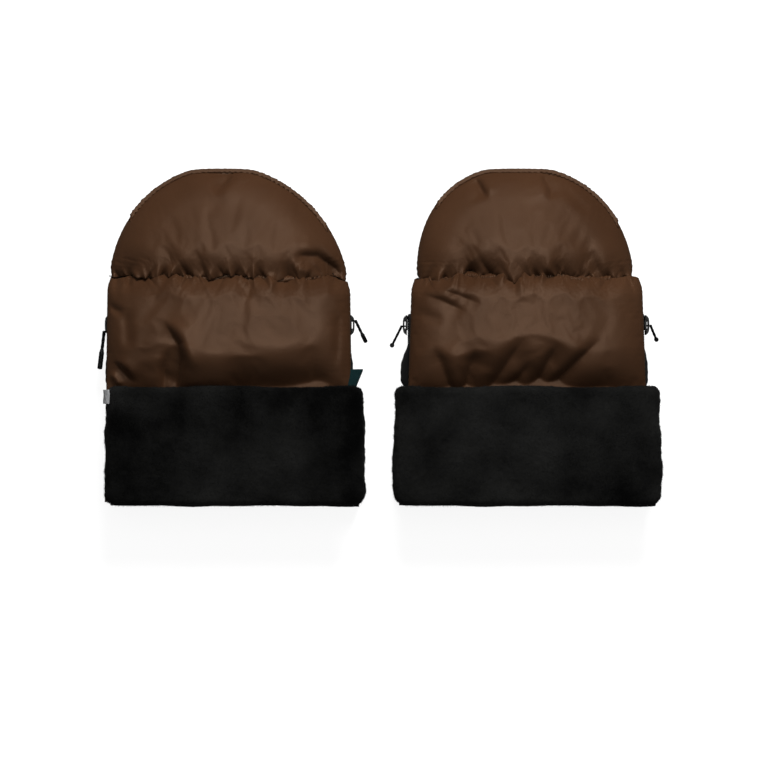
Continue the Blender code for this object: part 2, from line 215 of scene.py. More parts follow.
def patch(outline, step, fine=None):
    """Evenly spread points and triangles that fill a closed outline, twice as close where fine() is true."""
    ring = resample(np.vstack([outline, outline[:1]]), step / 2 if fine else step)[:-1]
    low, high = ring.min(axis=0), ring.max(axis=0)
    close = step / 2 if fine else step
    rows = np.arange(low[1], high[1], close * math.sqrt(3) / 2)
    grid, sparse = [], []
    for number, y in enumerate(rows):
        xs = np.arange(low[0], high[0], close)
        staggered = xs + (number // 2 % 2) * step / 2 + (number % 2) * close / 2
        grid.append(np.column_stack([staggered, np.full(len(xs), y)]))
        sparse.append((np.arange(len(xs)) % 2 == 0) & (number % 2 == 0))
    grid, sparse = np.vstack(grid), np.concatenate(sparse)
    if fine:
        grid = grid[sparse | fine(grid)]
    ring_x, ring_y = ring[:, 0], ring[:, 1]
    next_x, next_y = np.roll(ring_x, -1), np.roll(ring_y, -1)
    inside = np.zeros(len(grid), bool)
    for x0, y0, x1, y1 in zip(ring_x, ring_y, next_x, next_y):
        if y0 == y1:
            continue
        crosses = (y0 > grid[:, 1]) != (y1 > grid[:, 1])
        inside ^= crosses & (grid[:, 0] < (x1 - x0) * (grid[:, 1] - y0) / (y1 - y0) + x0)
    distance = nearest(grid, np.vstack([ring, ring[:1]]))[0]
    grid = grid[inside & (distance > RING_ROOM * close)]
    grid = grid + rng.uniform(-JITTER, JITTER, grid.shape) * close
    points = np.vstack([ring, grid])
    edges = [(i, (i + 1) % len(ring)) for i in range(len(ring))]
    made = delaunay_2d_cdt([Vector(p) for p in points], edges, [], 1, 1e-6)
    return np.array([tuple(v) for v in made[0]]), [tuple(f) for f in made[2]], len(ring)


def crease(points, start, end, width, height, blend=0.25):
    """A groove (height below 0) or a ridge along a line that fades at its ends."""
    start, end = np.array(start), np.array(end)
    span = end - start
    t = ((points - start) @ span) / (span @ span)
    normal = np.array([-span[1], span[0]]) / np.hypot(*span)
    off = (points - start) @ normal
    fade = smooth01(t / blend) * smooth01((1 - t) / blend)
    return height * fade * np.exp(-((off / width) ** 2))


def fold(points, path, depth, ridge, near=0.006, far=0.010, blend=0.42):
    """Cloth folded over a line: it stands high to the left of the path and dips sharply on it."""
    path = np.array(path)
    distance, away, along = nearest(points, path)
    total = np.sum(np.hypot(*np.diff(path, axis=0).T))
    place = np.clip(along / total, 0, 1)
    corners = np.linspace(0, 1, len(path))

    def on_path(share):
        return np.column_stack([np.interp(np.clip(share, 0, 1), corners, path[:, i]) for i in (0, 1)])

    course = on_path(place + COURSE_STEP) - on_path(place - COURSE_STEP)
    left = (course[:, 0] * away[:, 1] - course[:, 1] * away[:, 0]) > 0
    fade = smooth01(place / blend) * smooth01((1 - place) / blend)
    near, far = near * FOLD_WIDE, far * FOLD_WIDE
    high = ridge * (distance / near) * np.exp(1 - distance / near)
    high -= depth * np.exp(-((distance / (BANK * near)) ** 1.5))
    low = -depth * np.exp(-((distance / far) ** 1.3))
    return FOLD_TALL * fade * np.where(left, high, low)


def pleats(points, along, off, line_length, count, width, height, reach, seed):
    """Short folds slantwise to a seam: along is the place on the seam, off the distance from it."""
    draw = np.random.default_rng(seed)
    total = np.zeros(len(points))
    for number in range(count):
        place = (number + draw.uniform(0.1, 0.9)) * line_length / count
        slant = draw.uniform(-0.9, 0.9)
        wide = width * draw.uniform(0.6, 1.6)
        tall = height * draw.uniform(0.35, 1.3) * (1 if draw.random() < 0.5 else -1)
        far = reach * draw.uniform(0.5, 1.7)
        shape = np.exp(-(np.abs((along - place - slant * off) / (wide * (1 + off / far * 0.8))) ** 1.5))
        total += tall * shape * np.exp(-((off / far) ** 1.6))
    return total


def gather_line(muff, x):
    """The gather seam's Y at each X: a slight tilt and a wobble that both chambers share."""
    wobble = 0.0014 * np.sin(x * 85 + muff.x * 40) + 0.0011 * np.sin(x * 213 + 1.3)
    return GATHER_Y + muff.gather_tilt * x + wobble


def puckers(along, distance, seed, height, spacing=0.0068, reach=0.011):
    """Small dents square to a stitched seam, a little uneven."""
    draw = np.random.default_rng(seed)
    phase = along / spacing * 2 * math.pi
    phase = phase + 1.3 * np.sin(along * 61 + draw.uniform(0, 6))
    phase += 0.9 * np.sin(along * 143 + draw.uniform(0, 6))
    swell = 0.65 + 0.35 * np.sin(along * 37 + draw.uniform(0, 6))
    return height * swell * np.sin(phase) * np.exp(-distance / reach)


def shell_surface(muff, face, points, upper):
    """Lifts plan points to the puffed surface. Returns world points."""
    points = points.copy()
    if upper:
        line = muff.dome(DOME_LOW_Y, DOME_POINTS)
        line = np.vstack([[[line[0][0], DOME_FOOT_Y]], line, [[line[-1][0], DOME_FOOT_Y]]])
        distance, inward, along = nearest(points, line)
    else:
        half = muff.half(points[:, 1])
        distance = half - np.abs(points[:, 0])
        inward = np.column_stack([-np.sign(points[:, 0]), np.zeros(len(points))])
        along = points[:, 1] + np.sign(points[:, 0])
    distance = np.maximum(distance, 0)
    y = points[:, 1].copy()
    off = y - gather_line(muff, points[:, 0])

    # Where the surface turns over at the outline.
    share = clamp01(distance / ROUND_RADIUS) ** ROUND_POWER
    turn = EDGE_START + (math.pi / 2 - EDGE_START) * share
    inset = ROUND_RADIUS * (1 - np.cos(turn))
    pinch = PINCH * np.exp(-((off / PINCH_REACH) ** 2)) * (1 - clamp01(distance / PINCH_INWARD)) - GROW
    pucker = DOME_PUCKER if upper else SIDE_PUCKER
    seam = puckers(along, distance, 5 + face, spacing=PUCKER_STEP, height=pucker, reach=PUCKER_REACH)
    seam *= 0.25 + 0.75 * smooth01((y + 0.060) / 0.020)
    points += inward * ((inset - distance) * (share < 1) + pinch + seam)[:, None]

    edge = SEAM_Z_DOME + (SEAM_Z_SIDE - SEAM_Z_DOME) * smooth01((SEAM_Z_FROM_Y - y) / SEAM_Z_RUN)
    wide = 1 - (1 - clamp01(distance / WIDE_RADIUS)) ** 2
    rise = (1 - WIDE_SHARE) * np.sin(turn) + WIDE_SHARE * np.where(turn > 0, wide, 0)
    reach = np.where(off > 0, GATHER_REACH_UP, GATHER_REACH_DOWN)
    valley = np.sin(math.pi / 2 * clamp01(np.abs(off) / reach)) ** VALLEY_POWER
    rise = np.where(rise > 0, rise * (1 - GATHER_DEPTH * (1 - valley)), rise)
    height = edge + (CROWN[face] - edge) * rise + PUCKER_LIFT * seam

    # The lower chamber slopes down to where the cuff lies on it.
    x = points[:, 0]
    start = SLOPE_START_Y + 0.008 * np.sin(x * 34 + muff.x * 12) + 0.004 * np.sin(x * 81)
    down = clamp01((start - y) / (start - SLOPE_END_Y))
    under = np.minimum(UNDER_CUFF_Z - UNDER_CUFF_FALL * (1 - rise), height)
    height = np.where(rise > 0, height + (under - height) * down**SLOPE_POWER, height)

    height = height if face == FRONT else np.maximum(STACK - height, 0.0)
    return np.column_stack([points[:, 0] + muff.x, points[:, 1], height])


def mesh_object(name, verts, faces, material=None, smooth=True):
    mesh = bpy.data.meshes.new(name)
    mesh.from_pydata([tuple(map(float, v)) for v in verts], [], [tuple(map(int, f)) for f in faces])
    mesh.update()
    if material:
        mesh.materials.append(material)
    if smooth:
        mesh.shade_smooth()
    piece = bpy.data.objects.new(name, mesh)
    bpy.context.scene.collection.objects.link(piece)
    return piece


def ruffles(muff, points, off, seed):
    """Short pleats that the gather draws up on both sides, crossing it in places."""
    along = points[:, 0] + muff.dome_half
    far = np.abs(off)
    length = 2 * muff.dome_half
    fine = pleats(points, along, far, length, 46, 0.0017, 0.0021, 0.0060, seed)
    middle = pleats(points, along, far, length, 22, 0.0034, 0.0030, 0.0100, seed + 1 + (off[0] > 0))
    broad = pleats(points, along, far, length, 9, 0.0065, 0.0030, 0.0180, seed + 3 + (off[0] > 0))
    return fine + middle + broad


# Folds: path, depth, ridge, reach on the near and the far side, share of the path over which it fades.
# Creases: start, end, width, height (below 0 for a hollow), share over which it fades.
LEFT_FOLDS = (
    # Crease at the dome's crown, running down to the left.
    (fold, ((0.007, 0.163), (-0.003, 0.151), (-0.016, 0.139)), 0.0040, 0.0016, 0.0050, 0.0080),
    (crease, (0.010, 0.160), (0.016, 0.150), 0.0050, 0.0016),
    # Curl at the gather's right end, with a bump below it.
    (fold, ((0.062, 0.074), (0.072, 0.079), (0.087, 0.079), (0.104, 0.068), (0.115, 0.054)),
     0.0034, 0.0016, 0.0060, 0.0070, 0.3),
    (crease, (0.066, 0.067), (0.082, 0.063), 0.0050, 0.0022, 0.3),
    # Sharp crease across the lower chamber, with a broad ridge to its right.
    (fold, ((-0.063, 0.017), (-0.047, -0.007), (-0.046, -0.022), (-0.054, -0.060)),
     0.0054, 0.0036, 0.0085, 0.0105, 0.3),
    (fold, ((-0.064, -0.060), (-0.062, -0.030), (-0.056, -0.008)), 0.0030, 0.0014, 0.0050, 0.0050),
    # Short folds near the lower left corner.
    (fold, ((-0.113, -0.022), (-0.100, -0.034), (-0.090, -0.046)), 0.0026, 0.0026, 0.0040, 0.0060),
    (crease, (-0.114, -0.034), (-0.104, -0.048), 0.0030, 0.0024, 0.3),
    # Hollows: at the left edge, and wide ones above the cuff.
    (crease, (-0.099, 0.030), (-0.096, -0.014), 0.0060, -0.0022, 0.3),
    (crease, (-0.122, 0.033), (-0.100, 0.022), 0.0040, -0.0026, 0.3),
    (crease, (-0.058, 0.020), (-0.027, -0.036), 0.0075, 0.0030, 0.3),
    (crease, (-0.010, -0.047), (0.112, -0.044), 0.0140, -0.0042, 0.2),
    (crease, (0.108, 0.030), (0.106, -0.030), 0.0040, -0.0016, 0.3),
)

RIGHT_FOLDS = (
    # Dimples below the crown.
    (fold, ((-0.051, 0.157), (-0.046, 0.146), (-0.040, 0.134)), 0.0034, 0.0016, 0.0045, 0.0075, 0.3),
    (fold, ((0.024, 0.133), (0.021, 0.146), (0.013, 0.160)), 0.0032, 0.0016, 0.0045, 0.0085, 0.3),
    (crease, (0.030, 0.150), (0.062, 0.120), 0.0050, -0.0014, 0.3),
    # Fold lines below the gather's left half.
    (fold, ((-0.108, 0.043), (-0.084, 0.036), (-0.056, 0.022)), 0.0016, 0.0012, 0.0055, 0.0085, 0.4),
    (fold, ((-0.088, 0.047), (-0.066, 0.040), (-0.044, 0.031)), 0.0014, 0.0010, 0.0050, 0.0070, 0.4),
    (crease, (-0.112, 0.026), (-0.080, 0.014), 0.0060, -0.0014, 0.3),
    # Folds that rise from the cuff across the lower chamber.
    (fold, ((-0.093, -0.008), (-0.085, -0.022), (-0.070, -0.062)), 0.0042, 0.0014, 0.0070, 0.0110, 0.3),
    (fold, ((-0.064, -0.064), (-0.056, -0.030), (-0.0495, -0.010)), 0.0048, 0.0012, 0.0080, 0.0120, 0.3),
    (fold, ((-0.045, -0.062), (-0.018, -0.022), (-0.003, 0.001)), 0.0048, 0.0014, 0.0095, 0.0130, 0.35),
    (fold, ((-0.032, -0.064), (-0.006, -0.036), (0.006, -0.021)), 0.0034, 0.0006, 0.0060, 0.0100, 0.3),
    (fold, ((0.000, -0.062), (0.020, -0.023), (0.030, -0.004)), 0.0048, 0.0012, 0.0075, 0.0120, 0.35),
    (fold, ((0.012, -0.058), (0.050, -0.021), (0.073, 0.001)), 0.0042, 0.0012, 0.0065, 0.0110, 0.35),
    (crease, (-0.040, -0.050), (0.100, -0.050), 0.0130, -0.0030, 0.2),
)

BACK_FOLDS = (
    (fold, ((-0.070, 0.020), (-0.040, -0.006), (-0.010, -0.030)), 0.0026, 0.0000, 0.0060, 0.0080),
    (fold, ((0.070, 0.130), (0.050, 0.118), (0.030, 0.100)), 0.0026, 0.0000, 0.0060, 0.0080),
)


def laid(points, shapes):
    """The height that a table of folds and creases adds at each point."""
    return sum(shape(points, *numbers) for shape, *numbers in shapes)


# ---------------------------------------------------------------- materials
class Nodes:
    """Short calls for a material's node tree."""

    def __init__(self, name, colour, roughness, metallic=0.0):
        self.material = bpy.data.materials.new(name)
        self.material.use_nodes = True
        self.tree = self.material.node_tree
        self.shader = self.tree.nodes["Principled BSDF"]
        self.fix(Base_Color=(*colour, 1), Roughness=roughness, Metallic=metallic)
        self.place = self.node("ShaderNodeTexCoord").outputs["Object"]

    def set(self, node, socket, value):
        node.inputs[socket].default_value = value

    def fix(self, **sockets):
        """Constants on the shader's own sockets, whose names have spaces for underscores."""
        for socket, value in sockets.items():
            self.set(self.shader, socket.replace("_", " "), value)

    def node(self, kind, **settings):
        made = self.tree.nodes.new(kind)
        for key, value in settings.items():
            setattr(made, key, value)
        return made

    def link(self, source, target):
        self.tree.links.new(source, target)

    def noise(self, scale, detail, rough=0.5):
        made = self.node("ShaderNodeTexNoise", noise_dimensions="3D")
        self.set(made, "Scale", scale)
        self.set(made, "Detail", detail)
        self.set(made, "Roughness", rough)
        self.link(self.place, made.inputs["Vector"])
        return made.outputs["Fac"]

    def wave(self, scale, direction):
        made = self.node("ShaderNodeTexWave", wave_type="BANDS", bands_direction=direction)
        self.set(made, "Scale", scale)
        self.link(self.place, made.inputs["Vector"])
        return made.outputs["Fac"]

    def math(self, operation, *values):
        made = self.node("ShaderNodeMath", operation=operation)
        for slot, value in zip(made.inputs, values):
            if isinstance(value, float):
                slot.default_value = value
            else:
                self.link(value, slot)
        return made.outputs[0]

    def ramp(self, factor, stops):
        made = self.node("ShaderNodeValToRGB")
        ramp = made.color_ramp
        while len(ramp.elements) < len(stops):
            ramp.elements.new(0.5)
        for element, (place, colour) in zip(ramp.elements, stops):
            element.position = place
            element.color = (*colour, 1)
        self.link(factor, made.inputs["Fac"])
        return made.outputs["Color"]

    def grey(self, factor, low, high):
        made = self.node("ShaderNodeMapRange")
        self.link(factor, made.inputs["Value"])
        self.set(made, "To Min", low)
        self.set(made, "To Max", high)
        return made.outputs["Result"]

    def bump(self, height, strength, distance, normal=None):
        made = self.node("ShaderNodeBump")
        self.set(made, "Strength", strength)
        self.set(made, "Distance", distance)
        self.link(height, made.inputs["Height"])
        if normal:
            self.link(normal, made.inputs["Normal"])
        return made.outputs["Normal"]

    def to(self, socket, source):
        self.link(source, self.shader.inputs[socket])


def nylon_material():
    m = Nodes("shell_nylon", (0.035, 0.016, 0.008), 0.42)
    cloud = m.noise(14, 4)
    m.to("Base Color", m.ramp(cloud, ((0.3, (0.0142, 0.0061, 0.0028)), (0.7, (0.0188, 0.0084, 0.0040)))))
    m.to("Roughness", m.grey(m.noise(40, 5), 0.36, 0.50))
    threads = m.math("ADD", m.wave(900, "X"), m.wave(900, "Y"))
    weave = m.bump(threads, 0.05, 0.0002)
    m.to("Normal", m.bump(m.noise(260, 3), 0.10, 0.0006, weave))
    m.fix(Sheen_Weight=0.03, Sheen_Roughness=0.4, Sheen_Tint=(0.55, 0.36, 0.24, 1))
    m.fix(Specular_IOR_Level=0.45, Specular_Tint=(1.0, 0.68, 0.48, 1))
    return m.material


def plush_material():
    m = Nodes("plush", (0.008, 0.008, 0.0075), 0.95)
    # Painted sheen: the large soft lighter and darker patches in the plush's colour stand in for the pile
    # catching the light differently where its direction turns. The fine fibre noise mixed in is the pile's
    # own tone.
    nap = m.noise(28, 5, 0.6)
    fibre = m.noise(1400, 4, 0.65)
    painted_sheen_patches = m.math("ADD", m.math("MULTIPLY", m.noise(9, 2), 0.5), m.math("MULTIPLY", nap, 0.25))
    sheen_patches_and_fibre_tone = m.math("ADD", painted_sheen_patches, m.math("MULTIPLY", fibre, 0.25))
    m.to("Base Color", m.ramp(sheen_patches_and_fibre_tone, ((0.43, (0.0003, 0.0003, 0.0003)), (0.62, (0.0040, 0.0040, 0.0038)))))
    tuft = m.bump(m.noise(520, 3, 0.6), 0.55, 0.0012)
    m.to("Normal", m.bump(fibre, 0.5, 0.0006, tuft))
    m.fix(Sheen_Weight=0.02, Sheen_Roughness=0.5, Sheen_Tint=(0.30, 0.30, 0.30, 1), Specular_IOR_Level=0.03)
    return m.material


def plain_woven(name, colour, darker, scale, roughness):
    m = Nodes(name, colour, roughness)
    threads = m.math("MULTIPLY", m.wave(scale, "Y"), m.wave(scale, "X"))
    shade = m.math("ADD", threads, m.math("MULTIPLY", m.noise(90, 3), 0.4))
    m.to("Base Color", m.ramp(shade, ((0.1, darker), (0.9, colour))))
    m.to("Normal", m.bump(threads, 0.35, 0.0004))
    m.fix(Sheen_Weight=0.02, Specular_IOR_Level=0.12)
    return m.material


def metal_material():
    m = Nodes("zip_metal", (0.006, 0.006, 0.006), 0.38, 0.6)
    wear = m.noise(420, 5, 0.6)
    m.to("Base Color", m.ramp(wear, ((0.45, (0.004, 0.004, 0.004)), (0.80, (0.020, 0.019, 0.018)))))
    m.to("Roughness", m.grey(wear, 0.28, 0.5))
    m.to("Normal", m.bump(m.noise(900, 3), 0.1, 0.0003))
    return m.material


def moulded_material(name, colour, roughness):
    m = Nodes(name, colour, roughness)
    grain = m.noise(1800, 3)
    m.to("Roughness", m.grey(grain, roughness - 0.08, roughness + 0.1))
    m.to("Normal", m.bump(grain, 0.2, 0.0002))
    return m.material


def padding_material():
    m = Nodes("padding", (0.70, 0.69, 0.66), 0.95)
    fibre = m.noise(240, 6, 0.7)
    m.to("Base Color", m.ramp(fibre, ((0.3, (0.55, 0.54, 0.51)), (0.7, (0.80, 0.79, 0.77)))))
    m.to("Normal", m.bump(fibre, 0.7, 0.002))
    return m.material


NYLON = nylon_material()
PLUSH = plush_material()
SEAM_TAPE = plain_woven("seam_tape", (0.045, 0.024, 0.014), (0.022, 0.011, 0.006), 620, 0.7)
ZIP_TAPE = plain_woven("zip_tape", (0.0022, 0.0022, 0.0022), (0.0008, 0.0008, 0.0008), 800, 0.85)
COIL = moulded_material("zip_coil", (0.0025, 0.0025, 0.0025), 0.45)
METAL = metal_material()
CORD = plain_woven("pull_cord", (0.0020, 0.0020, 0.0020), (0.0008, 0.0008, 0.0008), 900, 0.8)
RUBBER = moulded_material("pull_end", (0.0022, 0.0022, 0.0022), 0.5)
TEAL = plain_woven("side_tag", (0.0010, 0.0080, 0.0085), (0.0006, 0.0035, 0.0040), 700, 0.62)
GREY = plain_woven("care_label", (0.160, 0.160, 0.163), (0.048, 0.048, 0.050), 700, 0.7)
PADDING = padding_material()


# ---------------------------------------------------------------- shells
SIM_FRAMES = 22
MOST_MOVE = 0.006
SOFT_PIN = 0.10
EDGE_PIN = 0.6
EDGE_PIN_REACH = 0.012
CUFF_PIN_DEPTH = 0.006
LOOSE_REACH = 0.020
PRESSURE = 1.2
SPARE = 0.003
SPARE_AT_GATHER = 0.022
CLOTH_THICK = 0.0009
BATTING_DEPTH = 0.0070
BATTING_INSET = 0.012
BATTING_FLOOR = 0.0502
BATTING_LEAST = 0.0004
BATTING_LUMP = 0.0007


CLOTH = {
    "quality": 7, "mass": 0.12, "air_damping": 2.0, "tension_stiffness": 12, "compression_stiffness": 12,
    "shear_stiffness": 4, "bending_stiffness": 0.8, "tension_damping": 8, "compression_damping": 8,
    "shear_damping": 8, "use_pressure": True, "uniform_pressure_force": PRESSURE,
    "vertex_group_shrink": "loose", "shrink_min": -SPARE, "shrink_max": -SPARE_AT_GATHER,
    "vertex_group_mass": "pin", "pin_stiffness": 1.0,
}


def relax_cloth(piece, pin, loose):
    """Runs the piece as cloth with spare cloth where it is loose, pinned by weight, and keeps the result."""
    groups = [piece.vertex_groups.new(name=name) for name in ("pin", "loose")]
    for group, weights in zip(groups, (pin, loose)):
        for index, weight in enumerate(weights):
            group.add([index], float(weight), "REPLACE")
    cloth = piece.modifiers.new("cloth", "CLOTH")
    for setting, value in CLOTH.items():
        setattr(cloth.settings, setting, value)
    cloth.settings.effector_weights.gravity = 0
    cloth.collision_settings.use_collision = False
    cloth.point_cache.frame_start = 1
    cloth.point_cache.frame_end = SIM_FRAMES
    rest = read_points(piece)
    scene = bpy.context.scene
    for number in range(1, SIM_FRAMES + 1):
        scene.frame_set(number)
    shift = read_points(piece.evaluated_get(bpy.context.evaluated_depsgraph_get())) - rest
    piece.modifiers.remove(cloth)
    scene.frame_set(1)
    length = np.linalg.norm(shift, axis=1)
    shift *= np.minimum(1, MOST_MOVE / np.maximum(length, 1e-9))[:, None]
    set_points(piece, rest + shift)
    for group in groups:
        piece.vertex_groups.remove(group)


def set_points(piece, points):
    piece.data.vertices.foreach_set("co", np.asarray(points, float).ravel())
    piece.data.update()


def apply_modifiers(piece):
    """Keeps what the modifiers make as the piece's own mesh."""
    graph = bpy.context.evaluated_depsgraph_get()
    mesh = bpy.data.meshes.new_from_object(piece.evaluated_get(graph))
    piece.modifiers.clear()
    old = piece.data
    piece.data = mesh
    bpy.data.meshes.remove(old)
    mesh.name = piece.name
    mesh.shade_smooth()


def subdivided(points, faces):
    """Loop's subdivision of a triangle mesh: every triangle becomes four, and the form is smoothed."""
    count = len(points)
    ends = np.sort(np.concatenate([faces[:, [0, 1]], faces[:, [1, 2]], faces[:, [2, 0]]]), axis=1)
    opposite = np.concatenate([faces[:, 2], faces[:, 0], faces[:, 1]])
    edges, which, sides = np.unique(ends, axis=0, return_inverse=True, return_counts=True)
    which = which.reshape(-1)
    across = np.zeros((len(edges), 3))
    np.add.at(across, which, points[opposite])
    open_edge = (sides == 1)[:, None]
    pair = points[edges[:, 0]] + points[edges[:, 1]]
    middle = np.where(open_edge, pair / 2, pair * 3 / 8 + across / (4 * sides[:, None]))

    around = np.zeros((count, 3))
    valence = np.zeros(count)
    rim = np.zeros((count, 3))
    on_rim = np.zeros(count)
    for a, b in ((0, 1), (1, 0)):
        np.add.at(around, edges[:, a], points[edges[:, b]])
        np.add.at(valence, edges[:, a], 1)
        np.add.at(rim, edges[sides == 1, a], points[edges[sides == 1, b]])
        np.add.at(on_rim, edges[sides == 1, a], 1)
    share = (5 / 8 - (3 / 8 + np.cos(2 * math.pi / np.maximum(valence, 3)) / 4) ** 2)[:, None]
    kept = points * (1 - share) + share * around / np.maximum(valence, 1)[:, None]
    on_edge = points * 3 / 4 + rim / (4 * np.maximum(on_rim, 1))[:, None]
    kept = np.where((on_rim > 0)[:, None], on_edge, kept)

    new = which.reshape(3, -1).T + count
    a, b, c = faces.T
    ab, bc, ca = new.T
    quarters = ((a, ab, ca), (ab, b, bc), (ca, bc, c), (ab, bc, ca))
    fine = np.concatenate([np.stack(corners, axis=1) for corners in quarters])
    return np.vstack([kept, middle]), fine


def read_points(piece):
    points = np.empty(len(piece.data.vertices) * 3)
    piece.data.vertices.foreach_get("co", points)
    return points.reshape(-1, 3)


def fill_mesh(mesh, points, faces):
    """Writes a triangle mesh, quicker than from_pydata."""
    mesh.vertices.add(len(points))
    mesh.vertices.foreach_set("co", np.asarray(points, float).ravel())
    mesh.loops.add(3 * len(faces))
    mesh.loops.foreach_set("vertex_index", np.asarray(faces, np.int32).ravel())
    mesh.polygons.add(len(faces))
    mesh.polygons.foreach_set("loop_start", np.arange(0, 3 * len(faces), 3, dtype=np.int32))
    mesh.update(calc_edges=True)
    mesh.validate()
    mesh.shade_smooth()


def subdivide(piece):
    corners = np.empty(len(piece.data.loops), np.int32)
    piece.data.loops.foreach_get("vertex_index", corners)
    points, faces = subdivided(read_points(piece), corners.reshape(-1, 3))
    material = piece.data.materials[0]
    piece.data.clear_geometry()
    fill_mesh(piece.data, points, faces)
    if not piece.data.materials:
        piece.data.materials.append(material)


def thicken(piece, thickness):
    """Gives the cloth its own thickness, inwards."""
    thick = piece.modifiers.new("thick", "SOLIDIFY")
    thick.thickness = thickness
    thick.offset = -1
    apply_modifiers(piece)


def chamber_outline(muff, upper, gap):
    """The chamber's plan outline, its gather edge on the wobbling seam."""
    if upper:
        outline = muff.dome(GATHER_Y, DOME_POINTS)
        ends = outline[-1][0], outline[0][0]
        across = np.linspace(*ends, 60)[1:-1]
        seam = np.column_stack([across, gather_line(muff, across) + gap])
        outline[0][1] = gather_line(muff, outline[0][0]) + gap
        outline[-1][1] = gather_line(muff, outline[-1][0]) + gap
        return np.vstack([outline, seam])
    low_y = MOUTH_Y + 0.003
    half = muff.half(GATHER_Y)
    across = np.linspace(half, -half, 60)
    seam = np.column_stack([across, gather_line(muff, across) - gap])
    low = muff.half(low_y)
    return np.vstack([seam, [[-low, low_y], [low, low_y]]])


def chamber(muff, face, upper, folds):
    """One quilted chamber's outer cloth and the batting inside it."""
    outline = chamber_outline(muff, upper, SEAM_GAP / 2)

    def by_gather(grid):
        return np.abs(grid[:, 1] - gather_line(muff, grid[:, 0])) < FINE_REACH

    points, faces, ring = patch(outline, PATCH_STEP, by_gather)
    world = shell_surface(muff, face, points, upper)
    if face == BACK:
        faces = [f[::-1] for f in faces]
    base = f"{muff.name}_{FACES[face]}_{'upper' if upper else 'lower'}"
    piece = mesh_object(f"{base}_cloth", world, faces, NYLON)
    edge_distance = nearest(points, np.vstack([points[:ring], points[:1]]))[0]
    pin = SOFT_PIN + EDGE_PIN * np.exp(-((edge_distance / EDGE_PIN_REACH) ** 2))
    pin[:ring] = 1.0
    pin[points[:, 1] < CUFF_TOP_Y - CUFF_PIN_DEPTH] = 1.0
    off = np.abs(points[:, 1] - gather_line(muff, points[:, 0]))
    loose = np.exp(-((off / LOOSE_REACH) ** 2))
    relax_cloth(piece, pin, loose)
    if face == BACK:
        relaxed = read_points(piece)
        relaxed[:, 2] = np.maximum(relaxed[:, 2], 0.0)
        set_points(piece, relaxed)
    subdivide(piece)
    add_folds(piece, muff, face, folds)
    thicken(piece, CLOTH_THICK)
    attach(piece, f"{muff.name}_muff")
    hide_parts(f"{base}_shell")
    batting(muff, face, upper, base, folds)


def add_folds(piece, muff, face, folds):
    """Draws the cloth up in short pleats beside the gather, and folds it where it creases."""
    points = read_points(piece)
    plan = points[:, :2] - [muff.x, 0]
    off = plan[:, 1] - gather_line(muff, plan[:, 0])
    side = np.sign(np.median(off))
    off = np.maximum(off * side, 1e-6) * side
    edge = muff.half(plan[:, 1]) - np.abs(plan[:, 0])
    lift = ruffles(muff, plan, off, 31 + 13 * face + int(muff.x > 0) * 7) * smooth01(edge / 0.010)
    points[:, 1] -= side * np.maximum(lift, 0) * 0.9 * np.exp(-np.abs(off) / 0.004)
    lift += laid(plan, folds) * clamp01(edge / 0.006) * smooth01((plan[:, 1] - FOLD_END_Y) / FOLD_END_FADE)
    high = points[:, 2] + lift * face
    kept = np.maximum(high, FOLD_FLOOR) if face == FRONT else np.minimum(high, STACK - FOLD_FLOOR)
    points[:, 2] = np.maximum(np.where(edge > FOLD_ROOM, kept, high), 0.0)
    set_points(piece, points)


def inset_outline(outline, inset):
    """A closed outline moved inwards, with the points that would cross dropped."""
    ring = resample(np.vstack([outline, outline[:1]]), 0.006)[:-1]
    ahead, behind = np.roll(ring, -1, axis=0), np.roll(ring, 1, axis=0)
    along = ahead - behind
    normal = np.column_stack([-along[:, 1], along[:, 0]]) / np.hypot(*along.T)[:, None]
    area = np.sum(ring[:, 0] * ahead[:, 1] - ahead[:, 0] * ring[:, 1])
    moved = ring + normal * inset * np.sign(area)
    distance = nearest(moved, np.vstack([ring, ring[:1]]))[0]
    return moved[distance > 0.97 * inset]


def slab(name, outline, top, bottom, material, step):
    """A closed form over a plan outline: top and bottom give its plan points and heights from their places,
    their distances from the edge and the way inwards."""
    points, faces, ring = patch(outline, step)
    closed = np.vstack([points[:ring], points[:1]])
    distance, inward, _ = nearest(points, closed)
    plan_top, high = top(points, distance, inward)
    plan_low, low = bottom(points, distance, inward)
    upper = np.column_stack([plan_top, high])
    lower = np.column_stack([plan_low, low])
    upper[:ring, 2] = lower[:ring, 2] = (upper[:ring, 2] + lower[:ring, 2]) / 2
    lower[:ring, :2] = upper[:ring, :2]
    shift = len(points) - ring
    below = [[i if i < ring else i + shift for i in f][::-1] for f in faces]
    return mesh_object(name, np.vstack([upper, lower[ring:]]), [*faces, *below], material)


def batting(muff, face, upper, base, folds):
    """The fibre fill, under the cloth and clear of the lining."""
    outline = inset_outline(chamber_outline(muff, upper, 0.001), BATTING_INSET)

    def top(points, distance, inward):
        world = shell_surface(muff, FRONT, points, upper)
        cloth_z = world[:, 2] + np.minimum(laid(points, folds), 0)
        deep = np.maximum(cloth_z - BATTING_DEPTH - BATTING_FLOOR, BATTING_LEAST)
        lump = BATTING_LUMP * np.sin(points[:, 0] * 160) * np.cos(points[:, 1] * 140)
        deep += lump * clamp01(deep / 0.003 - 0.5)
        return points + [muff.x, 0], BATTING_FLOOR + deep * clamp01(distance / 0.008) ** 0.5

    def bottom(points, distance, inward):
        return points + [muff.x, 0], np.full(len(points), BATTING_FLOOR)

    piece = slab(f"{base}_batting", outline, top, bottom, PADDING, 0.007)
    if face == BACK:
        flip_stack(piece)
    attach(piece, f"{muff.name}_muff")
    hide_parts(f"{base}_padding")


def flip_stack(piece):
    """Mirrors a piece of the front to the back."""
    points = read_points(piece)
    points[:, 2] = STACK - points[:, 2]
    set_points(piece, points)
    piece.data.flip_normals()


# The tape's rows: distance from the seam, and drop below the cloth's surface.
GATHER_TAPE = ((-0.0040, 0.0022), (-0.0020, 0.0004), (0.0, -0.0004), (0.0020, 0.0004), (0.0040, 0.0022))


